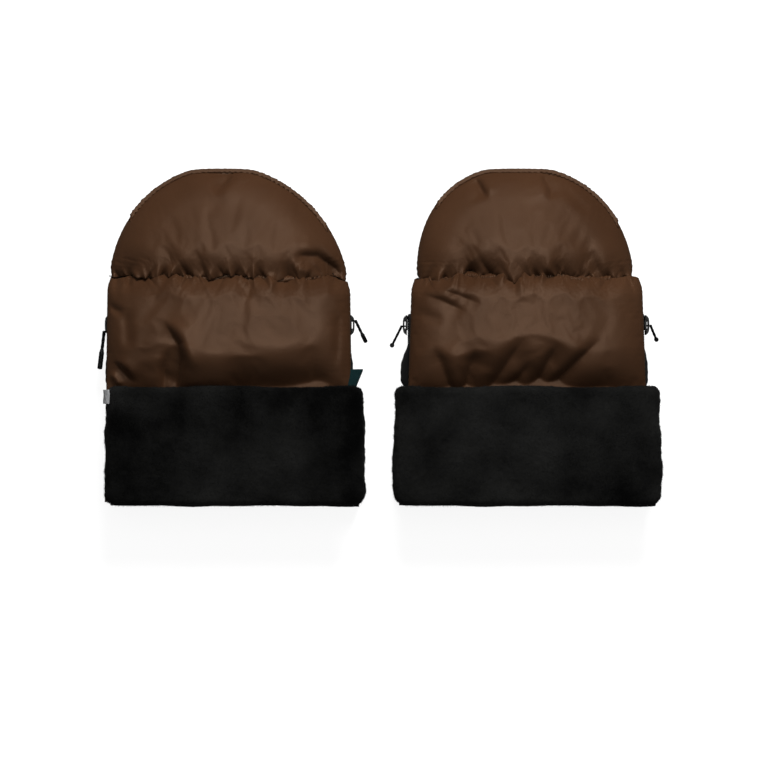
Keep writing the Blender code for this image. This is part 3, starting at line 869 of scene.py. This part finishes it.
def gather_tape(muff, face):
    """The shirred elastic in the valley between the chambers."""
    half = muff.dome_half - 0.006
    across = np.linspace(-half, half, 260)
    middle = gather_line(muff, across)
    world = shell_surface(muff, FRONT, np.column_stack([across, middle]), False)
    ripple = 0.0005 * np.sin(across * 1500) * (0.6 + 0.4 * np.sin(across * 90))
    rows = []
    for side, drop in GATHER_TAPE:
        rows.append(np.column_stack([across + muff.x, middle + side, world[:, 2] - drop + ripple]))
    piece = strip(f"{muff.name}_{FACES[face]}_gather_seam", rows, NYLON, 0.0008)
    if face == BACK:
        flip_stack(piece)
    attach(piece, f"{muff.name}_muff")
    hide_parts(f"{muff.name}_{FACES[face]}_gather_elastic")


def wall_faces(rings, count, first=0, closed=True):
    """Quads between rings of count points that follow one another from point first on."""
    faces = []
    for ring in range(rings - 1):
        for i in range(count if closed else count - 1):
            a, b = first + ring * count + i, first + ring * count + (i + 1) % count
            faces.append((a, b, b + count, a + count))
    return faces


def tube_faces(rings, count, first=0):
    """The walls and both ends of a closed tube of rings."""
    last = first + (rings - 1) * count
    ends = [tuple(range(first, first + count))[::-1], tuple(range(last, last + count))]
    return wall_faces(rings, count, first) + ends


def strip(name, rows, material, thickness):
    """A band through rows of points, with a thickness."""
    faces = wall_faces(len(rows), len(rows[0]), closed=False)
    piece = mesh_object(name, np.vstack(rows), faces, material)
    thicken(piece, thickness)
    return piece


# ---------------------------------------------------------------- dome binding
BINDING_INSET = 0.0046
BINDING_HALF = 0.0056
BINDING_ROUND = 0.0016
BINDING_PUCKER = 0.00045


def binding(muff):
    """The bound seam that joins the front and the back round the dome."""
    line = resample(muff.dome(GATHER_Y - 0.001, 200), 0.0014)
    ahead = np.gradient(line, axis=0)
    outward = np.column_stack([ahead[:, 1], -ahead[:, 0]]) / np.hypot(*ahead.T)[:, None]
    along = np.concatenate([[0], np.cumsum(np.hypot(*np.diff(line, axis=0).T))])
    pucker = puckers(along, np.zeros(len(along)), 3, height=BINDING_PUCKER)
    rows = []
    for up in np.linspace(-1, 1, 9):
        out = BINDING_ROUND * math.sqrt(max(0, 1 - up * up)) - BINDING_INSET
        place = line + outward * (out + pucker)[:, None]
        high = np.full(len(line), MIDDLE + up * BINDING_HALF)
        rows.append(np.column_stack([place[:, 0] + muff.x, place[:, 1], high]))
    piece = strip(f"{muff.name}_bound_seam", rows, SEAM_TAPE, 0.0014)
    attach(piece, f"{muff.name}_muff")
    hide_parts(f"{muff.name}_dome_binding")


# ---------------------------------------------------------------- plush
CUFF_STEP = 0.0026
CUFF_ROUND = 0.0062
CUFF_TOP_CORNER = 0.008
CUFF_MOUTH_CORNER = 0.016
CUFF_BASE = 0.0546
CUFF_HIGH = 0.0725
CUFF_EDGE_HIGH = CUFF_HIGH - 0.0015
CUFF_CROWN = 0.0034
CUFF_TAPER = 0.0030
TUFT = 0.00032
FIBRE_LENGTH = (0.0010, 0.0022)
FIBRE_WIDE = 0.00013
FIBRES = 30000


def rounded(corners, radii, count=8):
    """A closed outline with its corners rounded by arcs."""
    corners = np.asarray(corners, float)
    out = []
    for i, corner in enumerate(corners):
        before, after = corners[i - 1] - corner, corners[(i + 1) % len(corners)] - corner
        before, after = before / np.hypot(*before), after / np.hypot(*after)
        for t in np.linspace(0, 1, count):
            out.append(corner + radii[i] * ((1 - t) ** 2 * before + t**2 * after))
    return np.array(out)


def tufts(piece, height, scale, seed):
    """Raises the surface in small uneven tufts along its normals."""
    mesh = piece.data
    points = read_points(piece)
    normals = np.empty(len(points) * 3)
    mesh.vertex_normals.foreach_get("vector", normals)
    normals = normals.reshape(-1, 3)
    lift = np.array([noise.noise(Vector(p) * scale + Vector((seed, 0, 0))) for p in points])
    fine = np.array([noise.noise(Vector(p) * scale * 2.3 + Vector((0, seed, 0))) for p in points])
    set_points(piece, points + normals * (height * (lift + 0.5 * fine))[:, None])


def nap(piece, name, body, count, seed):
    """Short fibres that stand and lean all over a plush piece, each a closed spike rooted in it."""
    mesh = piece.data
    mesh.calc_loop_triangles()
    corners = np.empty(len(mesh.loop_triangles) * 3, np.int32)
    mesh.loop_triangles.foreach_get("vertices", corners)
    tri = read_points(piece)[corners.reshape(-1, 3)]
    normal = np.cross(tri[:, 1] - tri[:, 0], tri[:, 2] - tri[:, 0])
    area = np.linalg.norm(normal, axis=1)
    normal /= np.maximum(area, 1e-12)[:, None]
    draw = np.random.default_rng(seed)
    chosen = draw.choice(len(tri), count, p=area / area.sum())
    share = np.sqrt(draw.random(count))[:, None]
    other = draw.random(count)[:, None]
    first, second, third = (tri[chosen, i] for i in range(3))
    base = (1 - share) * first + share * (1 - other) * second + share * other * third
    up = normal[chosen]
    swirl = 2.2 * np.sin(base[:, 0] * 23 + seed) + 1.6 * np.sin(base[:, 1] * 37 + base[:, 0] * 9)
    lean = np.column_stack([np.sin(swirl), -np.cos(swirl) * 0.6 - 0.5, np.zeros(count)])
    course = up * 0.8 + lean * 0.75 + draw.normal(0, 0.28, (count, 3))
    course -= up * np.minimum(np.sum(course * up, axis=1) - 0.25, 0)[:, None]
    course /= np.linalg.norm(course, axis=1)[:, None]
    length = draw.uniform(*FIBRE_LENGTH, count)[:, None]
    side = np.cross(course, up + 0.01)
    side /= np.linalg.norm(side, axis=1)[:, None]
    back = np.cross(side, course)
    root = base - up * 0.0003
    behind = root - side * FIBRE_WIDE / 2
    feet = [root + side * FIBRE_WIDE, behind + back * FIBRE_WIDE, behind - back * FIBRE_WIDE]
    spike = [*feet, base + course * length]
    points = np.stack(spike, axis=1).reshape(-1, 3)
    points[:, 2] = np.maximum(points[:, 2], 0.0002)
    first = np.arange(count) * 4
    sides = ((0, 2, 1), (0, 1, 3), (1, 2, 3), (2, 0, 3))
    faces = np.concatenate([np.stack([first + i for i in corners], axis=1) for corners in sides])
    made = bpy.data.meshes.new(name)
    fill_mesh(made, points, faces)
    made.materials.append(PLUSH)
    fibres = bpy.data.objects.new(name, made)
    bpy.context.scene.collection.objects.link(fibres)
    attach(fibres, body)


def cuff(muff, face):
    """The plush flap that lies turned up over the mouth."""
    low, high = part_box(f"{muff.name}_{FACES[face]}_cuff")
    middle = (low[0] + high[0]) / 2
    mouth = (high[0] - low[0]) / 2
    top_half = mouth - CUFF_TAPER
    corners = ((mouth, MOUTH_Y), (top_half, CUFF_TOP_Y), (-top_half, CUFF_TOP_Y), (-mouth, MOUTH_Y))
    radii = (CUFF_MOUTH_CORNER, CUFF_TOP_CORNER, CUFF_TOP_CORNER, CUFF_MOUTH_CORNER)
    outline = resample(rounded(corners, radii), CUFF_STEP)
    wave = 0.0007 * np.sin(outline[:, 1] * 75 + muff.x * 30) + 0.0006 * np.sin(outline[:, 1] * 190 + face)
    outline[:, 0] += wave * np.sign(outline[:, 0])
    outline[:, 1] += 0.0007 * np.sin(outline[:, 0] * 48 + 2 * face) * (outline[:, 1] > -0.1)
    seed = muff.x * 100 + face

    def turned(points, distance, inward):
        share = clamp01(distance / CUFF_ROUND) ** 0.9
        turn = math.pi / 2 * share
        inset = CUFF_ROUND * (1 - np.cos(turn))
        plan = points + inward * ((inset - distance) * (share < 1))[:, None]
        return plan + [middle, 0], np.sin(turn)

    half_z = (CUFF_BASE + CUFF_EDGE_HIGH) / 2

    def top(points, distance, inward):
        plan, rise = turned(points, distance, inward)
        crown = CUFF_CROWN * smooth01(distance / 0.055)
        lumps = 0.0010 * np.sin(points[:, 0] * 41 + seed) * np.cos(points[:, 1] * 52 + seed)
        lumps += 0.0006 * np.sin(points[:, 0] * 93 + points[:, 1] * 70 + seed)
        lumps *= smooth01(distance / 0.015)
        return plan, half_z + (CUFF_EDGE_HIGH - half_z + crown) * rise + lumps

    def bottom(points, distance, inward):
        plan, rise = turned(points, distance, inward)
        return plan, half_z - (half_z - CUFF_BASE) * rise

    name = f"{muff.name}_{FACES[face]}_cuff"
    piece = slab(f"{name}_plush", outline, top, bottom, PLUSH, CUFF_STEP)
    subdivide(piece)
    tufts(piece, TUFT, 260, seed)
    if face == BACK:
        flip_stack(piece)
        points = read_points(piece)
        points[:, 2] = np.maximum(points[:, 2], 0.0)
        set_points(piece, points)
    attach(piece, name)
    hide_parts(name)
    nap(piece, f"{name}_nap", name, FIBRES, 11 + face + int(muff.x > 0) * 5)
    mouth_roll(muff, face, middle, mouth)


# The roll's section as Y and Z, and the heights where it leaves the muff and meets the cuff.
ROLL_PATH = ((-0.1520, 0.0462), (-0.1570, 0.0464), (-0.1600, 0.0474), (-0.1616, 0.0500), (-0.1620, 0.0540),
             (-0.1616, 0.0580), (-0.1600, 0.0615), (-0.1570, 0.0640))
ROLL_SHORT = 0.007


def mouth_roll(muff, face, middle, half):
    """The plush between the lining and the cuff, which turns over the mouth's edge."""
    across = np.linspace(-half + ROLL_SHORT, half - ROLL_SHORT, 180)
    rows = []
    for y, z in resample(ROLL_PATH, 0.0012):
        bow = 0.0006 * np.sin(across * 48) + 0.0004 * np.sin(across * 120 + z * 300)
        rows.append(np.column_stack([across + middle, y + bow, np.full(len(across), z)]))
    piece = strip(f"{muff.name}_{FACES[face]}_mouth_roll", rows[::-1], PLUSH, 0.0026)
    tufts(piece, TUFT * 0.8, 260, muff.x * 10)
    if face == BACK:
        flip_stack(piece)
    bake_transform(piece)


LINING_GAP = 0.0004
LINING_SIDE = 0.007
LINING_ROUND = 0.0075


def lining(muff, face):
    """The plush that faces the hands."""
    node = f"{muff.name}_{FACES[face]}_lining"
    low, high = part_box(f"{muff.name}_front_lining")
    inner, outer = low[2] + LINING_GAP, high[2] - LINING_GAP
    end = muff.half(MOUTH_Y) - LINING_SIDE
    centre = np.array([muff.lean * 0.5, 0.06])
    arc = centre + (muff.dome(GATHER_Y, 100) - centre) * (1 - LINING_ROUND / muff.dome_half)
    bottom_y = low[1] + 0.001
    corners = ((end, 0.0), (-end, 0.0), (-end, bottom_y), (end, bottom_y))
    square = rounded(corners, (0.001, 0.001, 0.010, 0.010))
    outline = np.vstack([arc, square[square[:, 1] < -0.1]])

    def halfway(distance):
        return (outer - inner) / 2 * clamp01(distance / 0.004) ** 0.5

    def top(points, distance, inward):
        return points + [muff.x, 0], (inner + outer) / 2 + halfway(distance)

    def bottom(points, distance, inward):
        lumps = 0.0007 * np.sin(points[:, 0] * 60 + face) * np.cos(points[:, 1] * 55)
        return points + [muff.x, 0], (inner + outer) / 2 - halfway(distance) + np.abs(lumps)

    piece = slab(f"{node}_plush", outline, top, bottom, PLUSH, 0.0055)
    subdivide(piece)
    tufts(piece, TUFT * 0.6, 240, 7 + face)
    if face == BACK:
        flip_stack(piece)
    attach(piece, f"{muff.name}_muff")
    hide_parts(node)


# ---------------------------------------------------------------- zips
TOOTH_PITCH = 0.0016
TOOTH_SIZE = (0.0024, 0.0011, 0.0030)
TOOTH_LOW_Z = 0.03535
TOOTH_SIDES = 6
# A tooth's rings: share of its height, share of its width.
TOOTH_RINGS = ((0.0, 0.45), (0.12, 0.9), (0.5, 1.0), (0.88, 0.9), (1.0, 0.45))
TAPE_THICK = 0.0006
TAPE_STEP = 0.0016
# The tape's rows from the shell to the teeth: share of the way across, height.
TAPE_ROWS = ((0, 0.0505), (0.22, 0.0480), (0.45, 0.0455), (0.65, 0.0430), (0.82, 0.0405), (1, 0.0380))
TAPE_SWELL = 0.0012
TAPE_BULGE = {
    ("left", "outer"): 0.0050,
    ("left", "inner"): 0.0050,
    ("right", "inner"): 0.0100,
    ("right", "outer"): 0.0052,
}
BOX_BEVEL = 0.0003
SLIDER_BEVEL = 0.00028


def zip_cloth(muff, side_name, side, face, teeth_x, run):
    """The tape's cloth, which bulges a little below the slider."""
    bulge = smooth01((0.004 - run) / 0.034) * smooth01((run + 0.060) / 0.02)
    shell_x = muff.x + side * (muff.half(run) - 0.0052)
    ripple = 0.00018 * np.sin(run * 700)
    rows = []
    for share, z in TAPE_ROWS:
        x = shell_x + (teeth_x + side * 0.0003 - shell_x) * share
        swell = math.sin(math.pi * share) * (TAPE_SWELL + TAPE_BULGE[(muff.name, side_name)] * bulge)
        rows.append(np.column_stack([x + side * (swell + ripple), run, np.full(len(run), z)]))
    name = f"{muff.name}_{side_name}_{FACES[face]}_zip_cloth"
    return strip(name, rows if side < 0 else rows[::-1], ZIP_TAPE, TAPE_THICK)


def coil_teeth(name, x, places):
    """A row of coil teeth at places along Y."""
    wide, deep, tall = TOOTH_SIZE
    turns = np.linspace(0, 2 * math.pi, TOOTH_SIDES, endpoint=False)
    points, faces = [], []
    for y in places:
        faces += tube_faces(len(TOOTH_RINGS), TOOTH_SIDES, len(points))
        for share, size in TOOTH_RINGS:
            for turn in turns:
                across, along = math.cos(turn) * wide / 2 * size, math.sin(turn) * deep / 2 * size
                points.append((x + across, y + along, TOOTH_LOW_Z + tall * share))
    return mesh_object(name, points, faces, COIL)


def zip_half(muff, side_name, side, face):
    """One tape and its row of coil teeth."""
    node = f"{muff.name}_{side_name}_zip_{FACES[face]}_tape"
    low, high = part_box(node)
    teeth_x = (low[0] + high[0]) / 2
    tape = zip_cloth(muff, side_name, side, face, teeth_x, np.arange(low[1] + 0.0005, high[1], TAPE_STEP))
    offset = 0 if face == FRONT else TOOTH_PITCH / 2
    places = np.arange(low[1] + 0.001 + offset, high[1] - 0.001, TOOTH_PITCH)
    teeth = coil_teeth(f"{muff.name}_{side_name}_{FACES[face]}_coil_teeth", teeth_x, places)
    for piece in (tape, teeth):
        if face == BACK:
            flip_stack(piece)
        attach(piece, f"{muff.name}_muff")
    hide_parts(node)


def merged(parts):
    """One list of points and one of faces from several."""
    points, faces = [], []
    for more, polygons in parts:
        faces += [tuple(i + len(points) for i in f) for f in polygons]
        points += [tuple(p) for p in more]
    return np.array(points), faces


def face_outwards(piece):
    """Turns every face of a closed piece outwards."""
    clean = bmesh.new()
    clean.from_mesh(piece.data)
    bmesh.ops.recalc_face_normals(clean, faces=clean.faces)
    clean.to_mesh(piece.data)
    clean.free()


def metal_piece(node, body, parts, side, centre, bevel):
    """A bevelled metal piece merged from parts whose X points away from the muff, placed at its centre."""
    points, faces = merged(parts)
    piece = mesh_object(f"{node}_body", points * [side, 1, 1] + centre, faces, METAL, smooth=False)
    face_outwards(piece)
    edge = piece.modifiers.new("edge", "BEVEL")
    edge.width = bevel
    edge.segments = 2
    edge.limit_method = "ANGLE"
    apply_modifiers(piece)
    piece.data.set_sharp_from_angle(angle=math.radians(40))
    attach(piece, body)
    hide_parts(node)


def prism(outline, low, high):
    """A closed prism over an outline, as points (along the prism's axis first) and faces."""
    return [(level, *p) for level in (low, high) for p in outline], tube_faces(2, len(outline))


def ring_points(centre, radius, first, second, turns):
    """Points round a centre, in the plane of two directions."""
    return [centre + radius * (math.cos(turn) * first + math.sin(turn) * second) for turn in turns]


def tube(path, radii, sides, braided=False):
    """A closed tube through 3-D points, its surface plaited where it is braided."""
    path = np.asarray(path, float)
    ahead = np.gradient(path, axis=0)
    ahead /= np.linalg.norm(ahead, axis=1)[:, None]
    sideways = np.cross(ahead, [0.0, 0.0, 1.0])
    sideways /= np.linalg.norm(sideways, axis=1)[:, None]
    lift = np.cross(sideways, ahead)
    points = []
    for number, (centre, radius) in enumerate(zip(path, radii)):
        for angle in np.linspace(0, 2 * math.pi, sides, endpoint=False):
            plait = BRAID * math.sin(4 * angle + number * 0.9) * math.sin(4 * angle - number * 0.9)
            size = radius * (1 + plait * braided)
            out = math.cos(angle) * sideways[number] + math.sin(angle) * lift[number]
            points.append(centre + size * out)
    return points, tube_faces(len(path), sides)


# The slider about its middle, as Y and Z: its plates and the neck between them.
SLIDER_PLATE = ((-0.0098, 0.0030), (-0.0060, 0.0040), (0.0040, 0.0042), (0.0082, 0.0036), (0.0098, 0.0018),
                (0.0098, -0.0018), (0.0082, -0.0036), (0.0040, -0.0042), (-0.0060, -0.0040),
                (-0.0098, -0.0030))
SLIDER_NECK = ((0.0052, 0.0004), (0.0078, 0.0022), (0.0092, 0.0022), (0.0092, -0.0022), (0.0078, -0.0022),
               (0.0052, -0.0004))
# Each flange's rail, which closes the gap between the plates' edges.
SLIDER_RAIL = ((-0.0050, -0.0007), (0.0050, -0.0004), (0.0050, 0.0), (-0.0050, 0.0))
FLANGE_Z = 0.0042
# The bridge's middle line as X and Y, its half width along Z and its half thickness.
BRIDGE_PATH = ((0.0022, -0.0082), (0.0034, -0.0080), (0.0044, -0.0066), (0.0049, -0.0040), (0.0050, 0.0000),
               (0.0049, 0.0040), (0.0044, 0.0066), (0.0034, 0.0080), (0.0022, 0.0082))
BRIDGE_HALF_Z = 0.0022
BRIDGE_THICK = 0.00085


def bridge():
    """The slider's bridge: a flat bar bent along its path."""
    path = np.array(BRIDGE_PATH)
    points = []
    for number, (u, v) in enumerate(path):
        course = path[min(number + 1, len(path) - 1)] - path[max(number - 1, 0)]
        course /= np.hypot(*course)
        out, along = course[1] * BRIDGE_THICK, -course[0] * BRIDGE_THICK
        for sign, z in ((1, BRIDGE_HALF_Z), (1, -BRIDGE_HALF_Z), (-1, -BRIDGE_HALF_Z), (-1, BRIDGE_HALF_Z)):
            points.append((u + sign * out, v + sign * along, z))
    return points, tube_faces(len(path), 4)


def slider(muff, side_name, side):
    """The zip's slider: two plates beside the teeth, a neck that parts them, and a bridge for the pull."""
    node = f"{muff.name}_{side_name}_zip_slider"
    low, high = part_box(node)
    tape_low, tape_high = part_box(f"{muff.name}_{side_name}_zip_front_tape")
    centre = [(tape_low[0] + tape_high[0]) / 2, (low[1] + high[1]) / 2, MIDDLE]
    parts = [prism(SLIDER_PLATE, -0.0030, -0.0018), prism(SLIDER_PLATE, 0.0018, 0.0030)]
    parts.append(prism(SLIDER_NECK, -0.0019, 0.0019))
    for start, end in ((-0.0079, -0.0034), (0.0034, 0.0079)):
        web = ((start, -0.0019), (end, -0.0019), (end, 0.0019), (start, 0.0019))
        parts.append(prism(web, 0.0027, 0.0046))
    for flange in (-FLANGE_Z, FLANGE_Z):
        rail = [(y, z + flange) for y, z in SLIDER_RAIL]
        parts += [prism(rail, -0.0030, -0.0010), prism(rail, 0.0010, 0.0030)]
    parts.append(bridge())
    metal_piece(node, f"{muff.name}_{side_name}_slider", parts, side, centre, SLIDER_BEVEL)


# Each pull: cord radius, end length, end radius, and whether the end is a squared bar.
PULLS = {
    ("left", "outer"): (0.00165, 0.0205, 0.00250, True),
    ("left", "inner"): (0.00145, 0.0120, 0.00205, True),
    ("right", "inner"): (0.00125, 0.0050, 0.00230, False),
    ("right", "outer"): (0.00130, 0.0056, 0.00225, False),
}
BRAID = 0.10
CORD_RINGS = 60
LOOP_RADIUS = 0.0023
LOOP_RINGS = 32
LOOP_SIDES = 8
# A moulded end's rings: share of its length, share of its radius.
BAR_END = ((0.0, 0.62), (0.02, 0.72), (0.08, 0.80), (0.14, 0.84), (0.18, 1.0), (0.30, 1.0), (0.33, 0.92),
           (0.36, 1.0), (0.48, 1.0), (0.51, 0.92), (0.54, 1.0), (0.66, 1.0), (0.69, 0.92), (0.72, 1.0),
           (0.96, 1.0), (0.99, 0.9), (1.0, 0.72))
DROP_END = ((0.0, 0.52), (0.05, 0.58), (0.14, 0.62), (0.24, 0.80), (0.36, 0.95), (0.50, 1.0), (0.64, 0.99),
            (0.78, 0.88), (0.90, 0.64), (0.97, 0.36), (1.0, 0.15))


def node_points(name):
    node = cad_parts[name]
    return np.array([node.matrix_world @ v.co for v in node.data.vertices])


def pull_line(cord_points, end_points):
    """The pull's root at the bridge, the way it points, and its tip, from its CAD nodes' points."""
    far = end_points[np.argmax(np.linalg.norm(end_points - cord_points.mean(axis=0), axis=1))]
    from_far = np.linalg.norm(cord_points - far, axis=1)
    root = cord_points[from_far > from_far.max() - 0.0012].mean(axis=0)
    middle = end_points.mean(axis=0)
    course = (middle - root) / np.linalg.norm(middle - root)
    return root, course, root + course * ((middle - root) @ course + np.max((end_points - middle) @ course))


def cord_loop(root, side, radius):
    """The cord's loop through the bridge."""
    flat = np.array([side * 1.0, 0.0, 0.0])
    hub = root - flat * 0.0016
    turns = np.linspace(0, 2 * math.pi, LOOP_RINGS, endpoint=False)
    around = np.linspace(0, 2 * math.pi, LOOP_SIDES, endpoint=False)
    points = []
    for centre in ring_points(hub, LOOP_RADIUS, flat, np.array([0.0, 0.0, 1.0]), turns):
        points += ring_points(centre, radius, (centre - hub) / LOOP_RADIUS, np.array([0.0, 1.0, 0.0]), around)
    faces = [tuple(i % len(points) for i in f) for f in wall_faces(LOOP_RINGS + 1, LOOP_SIDES)]
    return points, faces


def pull(muff, side_name, side):
    """The braided cord looped through the slider's bridge, and the end moulded on it."""
    base = f"{muff.name}_{side_name}_zip_pull"
    cord_node, end_node = f"{base}_cord", f"{base}_end"
    cord_radius, end_length, end_radius, squared = PULLS[(muff.name, side_name)]
    root, course, tip = pull_line(node_points(cord_node), node_points(end_node))
    share = np.linspace(0, 1, CORD_RINGS)
    line = root + (tip - course * (end_length - 0.001) - root) * share[:, None]
    line[:, 2] -= 0.0006 * np.sin(math.pi * share)
    lumps = 1 + 0.07 * np.sin(share * 19 + side)
    parts = [tube(line, cord_radius * lumps, 12, braided=True), cord_loop(root, side, cord_radius * 0.62)]
    cord = mesh_object(f"{base}_braided_cord", *merged(parts), CORD)
    profile = BAR_END if squared else DROP_END
    path = [tip - course * end_length * (1 - along) for along, _ in profile]
    rings = tube(path, [end_radius * wide for _, wide in profile], 20)
    end = mesh_object(f"{base}_moulded_end", *rings, RUBBER)
    for piece in (cord, end):
        face_outwards(piece)
        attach(piece, f"{muff.name}_{side_name}_pull")
    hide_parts(cord_node)
    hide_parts(end_node)


# The box's outline as shares of its half length and half height.
ZIP_BOX = ((-1, 0.6), (-0.6, 1), (0.8, 1), (1, 0.85), (1, -0.85), (0.8, -1), (-0.6, -1), (-1, -0.6))


def zip_box(muff, side_name, side):
    """The metal box that holds the zip's ends near the mouth, with a stepped rim."""
    node = f"{muff.name}_{side_name}_zip_box"
    low, high = (np.array(corner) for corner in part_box(node))
    half_x, half_y, half_z = (high - low) / 2
    shape = [(half_y * a, half_z * b) for a, b in ZIP_BOX]
    rim = [(a * 0.55, b * 0.60) for a, b in shape]
    parts = [prism(shape, -half_x, half_x * 0.55), prism(rim, half_x * 0.5, half_x)]
    metal_piece(node, f"{muff.name}_muff", parts, side, (low + high) / 2, BOX_BEVEL)


# ---------------------------------------------------------------- tag and label
TAG_OUTLINE = ((-0.0300, -0.0312), (-0.0150, -0.0308), (-0.0151, -0.0325), (-0.0210, -0.0470),
               (-0.0222, -0.0500), (-0.0300, -0.0500))
TAG_THICK = 0.0011


def side_tag():
    """The blank woven tag, folded double and sewn in the side seam. It leans down a little."""
    outline = resample(np.vstack([TAG_OUTLINE, TAG_OUTLINE[:1]]), 0.0009)[:-1]

    def droop(points):
        out = clamp01((points[:, 0] + 0.0300) / 0.015)
        return 0.0522 - 0.0050 * out**2 + 0.0005 * np.sin(points[:, 1] * 420) * out

    def half_thick(distance):
        return TAG_THICK / 2 * clamp01(distance / 0.0006) ** 0.5

    def top(points, distance, inward):
        hem = 0.00022 * np.exp(-(((distance - 0.0012) / 0.00035) ** 2))
        return points, droop(points) + half_thick(distance) - hem

    def bottom(points, distance, inward):
        return points, droop(points) - half_thick(distance)

    piece = slab("left_side_tag_folded", outline, top, bottom, TEAL, 0.0009)
    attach(piece, "left_muff")
    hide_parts("left_side_tag")


# The label's section as X and Z.
LABEL_PATH = ((-0.2600, 0.0738), (-0.2622, 0.0732), (-0.2640, 0.0718), (-0.2656, 0.0695), (-0.2668, 0.0665),
              (-0.2672, 0.0640))


def care_label():
    """The blank grey label, folded over the cuff's edge."""
    low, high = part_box("left_care_label")
    across = np.linspace(low[1] + 0.0006, high[1] - 0.0006, 40)
    rows = []
    for x, z in resample(LABEL_PATH, 0.0004):
        wave = 0.00025 * np.sin(across * 500 + x * 900)
        rows.append(np.column_stack([x + wave, across, z + wave]))
    piece = strip("left_care_label_folded", rows, GREY, 0.0005)
    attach(piece, "left_front_cuff")
    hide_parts("left_care_label")


FOLDS = {"left": LEFT_FOLDS, "right": RIGHT_FOLDS}
for muff in MUFFS:
    for face in (FRONT, BACK):
        folds = FOLDS[muff.name] if face == FRONT else BACK_FOLDS
        for upper in (True, False):
            chamber(muff, face, upper, folds)
        gather_tape(muff, face)
        lining(muff, face)
        cuff(muff, face)
    binding(muff)
    for side_name, side in SIDES[muff.name].items():
        for face in (FRONT, BACK):
            zip_half(muff, side_name, side, face)
        slider(muff, side_name, side)
        pull(muff, side_name, side)
        zip_box(muff, side_name, side)
side_tag()
care_label()


# ---------------------------------------------------------------- stage
# The camera looks straight down and frames FIELD metres at the height PLANE_Z.
FIELD = 0.7546
LENS, SENSOR = 100.0, 36.0
LOOK = (0.0064, -0.0465)
PLANE_Z = 0.045
WORLD_STRENGTH = 0.60
FLOOR_GLOW = 0.87
# Name, place, size, power, and whether it shows in reflections.
LIGHTS = (
    ("key", (0.18, 1.20, 1.10), 0.8, 102, False),
    ("softbox", (0.15, 0.42, 2.50), 1.6, 22, True),
)


def make_camera():
    camera = bpy.data.cameras.new("camera")
    camera.lens = LENS
    camera.sensor_width = SENSOR
    camera.clip_end = 20
    holder = bpy.data.objects.new("camera", camera)
    bpy.context.scene.collection.objects.link(holder)
    holder.location = (LOOK[0], LOOK[1], PLANE_Z + FIELD * LENS / SENSOR)
    bpy.context.scene.camera = holder


def area_light(name, place, size, power, reflected):
    """A round light that faces the origin."""
    light = bpy.data.lights.new(name, "AREA")
    light.shape = "DISK"
    light.size = size
    light.energy = power
    holder = bpy.data.objects.new(name, light)
    bpy.context.scene.collection.objects.link(holder)
    holder.location = place
    holder.visible_glossy = reflected
    holder.rotation_euler = (-Vector(place)).to_track_quat("-Z", "Y").to_euler()


def make_stage():
    bpy.ops.mesh.primitive_plane_add(size=12, location=(0, 0, 0))
    floor = bpy.context.object
    floor.name = "floor"
    m = Nodes("floor", (0.11, 0.11, 0.11), 0.9)
    m.set(m.shader, "Emission Color", (1, 1, 1, 1))
    m.set(m.shader, "Emission Strength", FLOOR_GLOW)
    floor.data.materials.append(m.material)
    floor.visible_glossy = False
    world = bpy.data.worlds.new("world")
    world.use_nodes = True
    world.node_tree.nodes["Background"].inputs["Color"].default_value = (1, 1, 1, 1)
    world.node_tree.nodes["Background"].inputs["Strength"].default_value = WORLD_STRENGTH
    bpy.context.scene.world = world
    world.cycles_visibility.glossy = False
    for light in LIGHTS:
        area_light(*light)
    bpy.context.scene.view_settings.view_transform = "Standard"


make_camera()
make_stage()
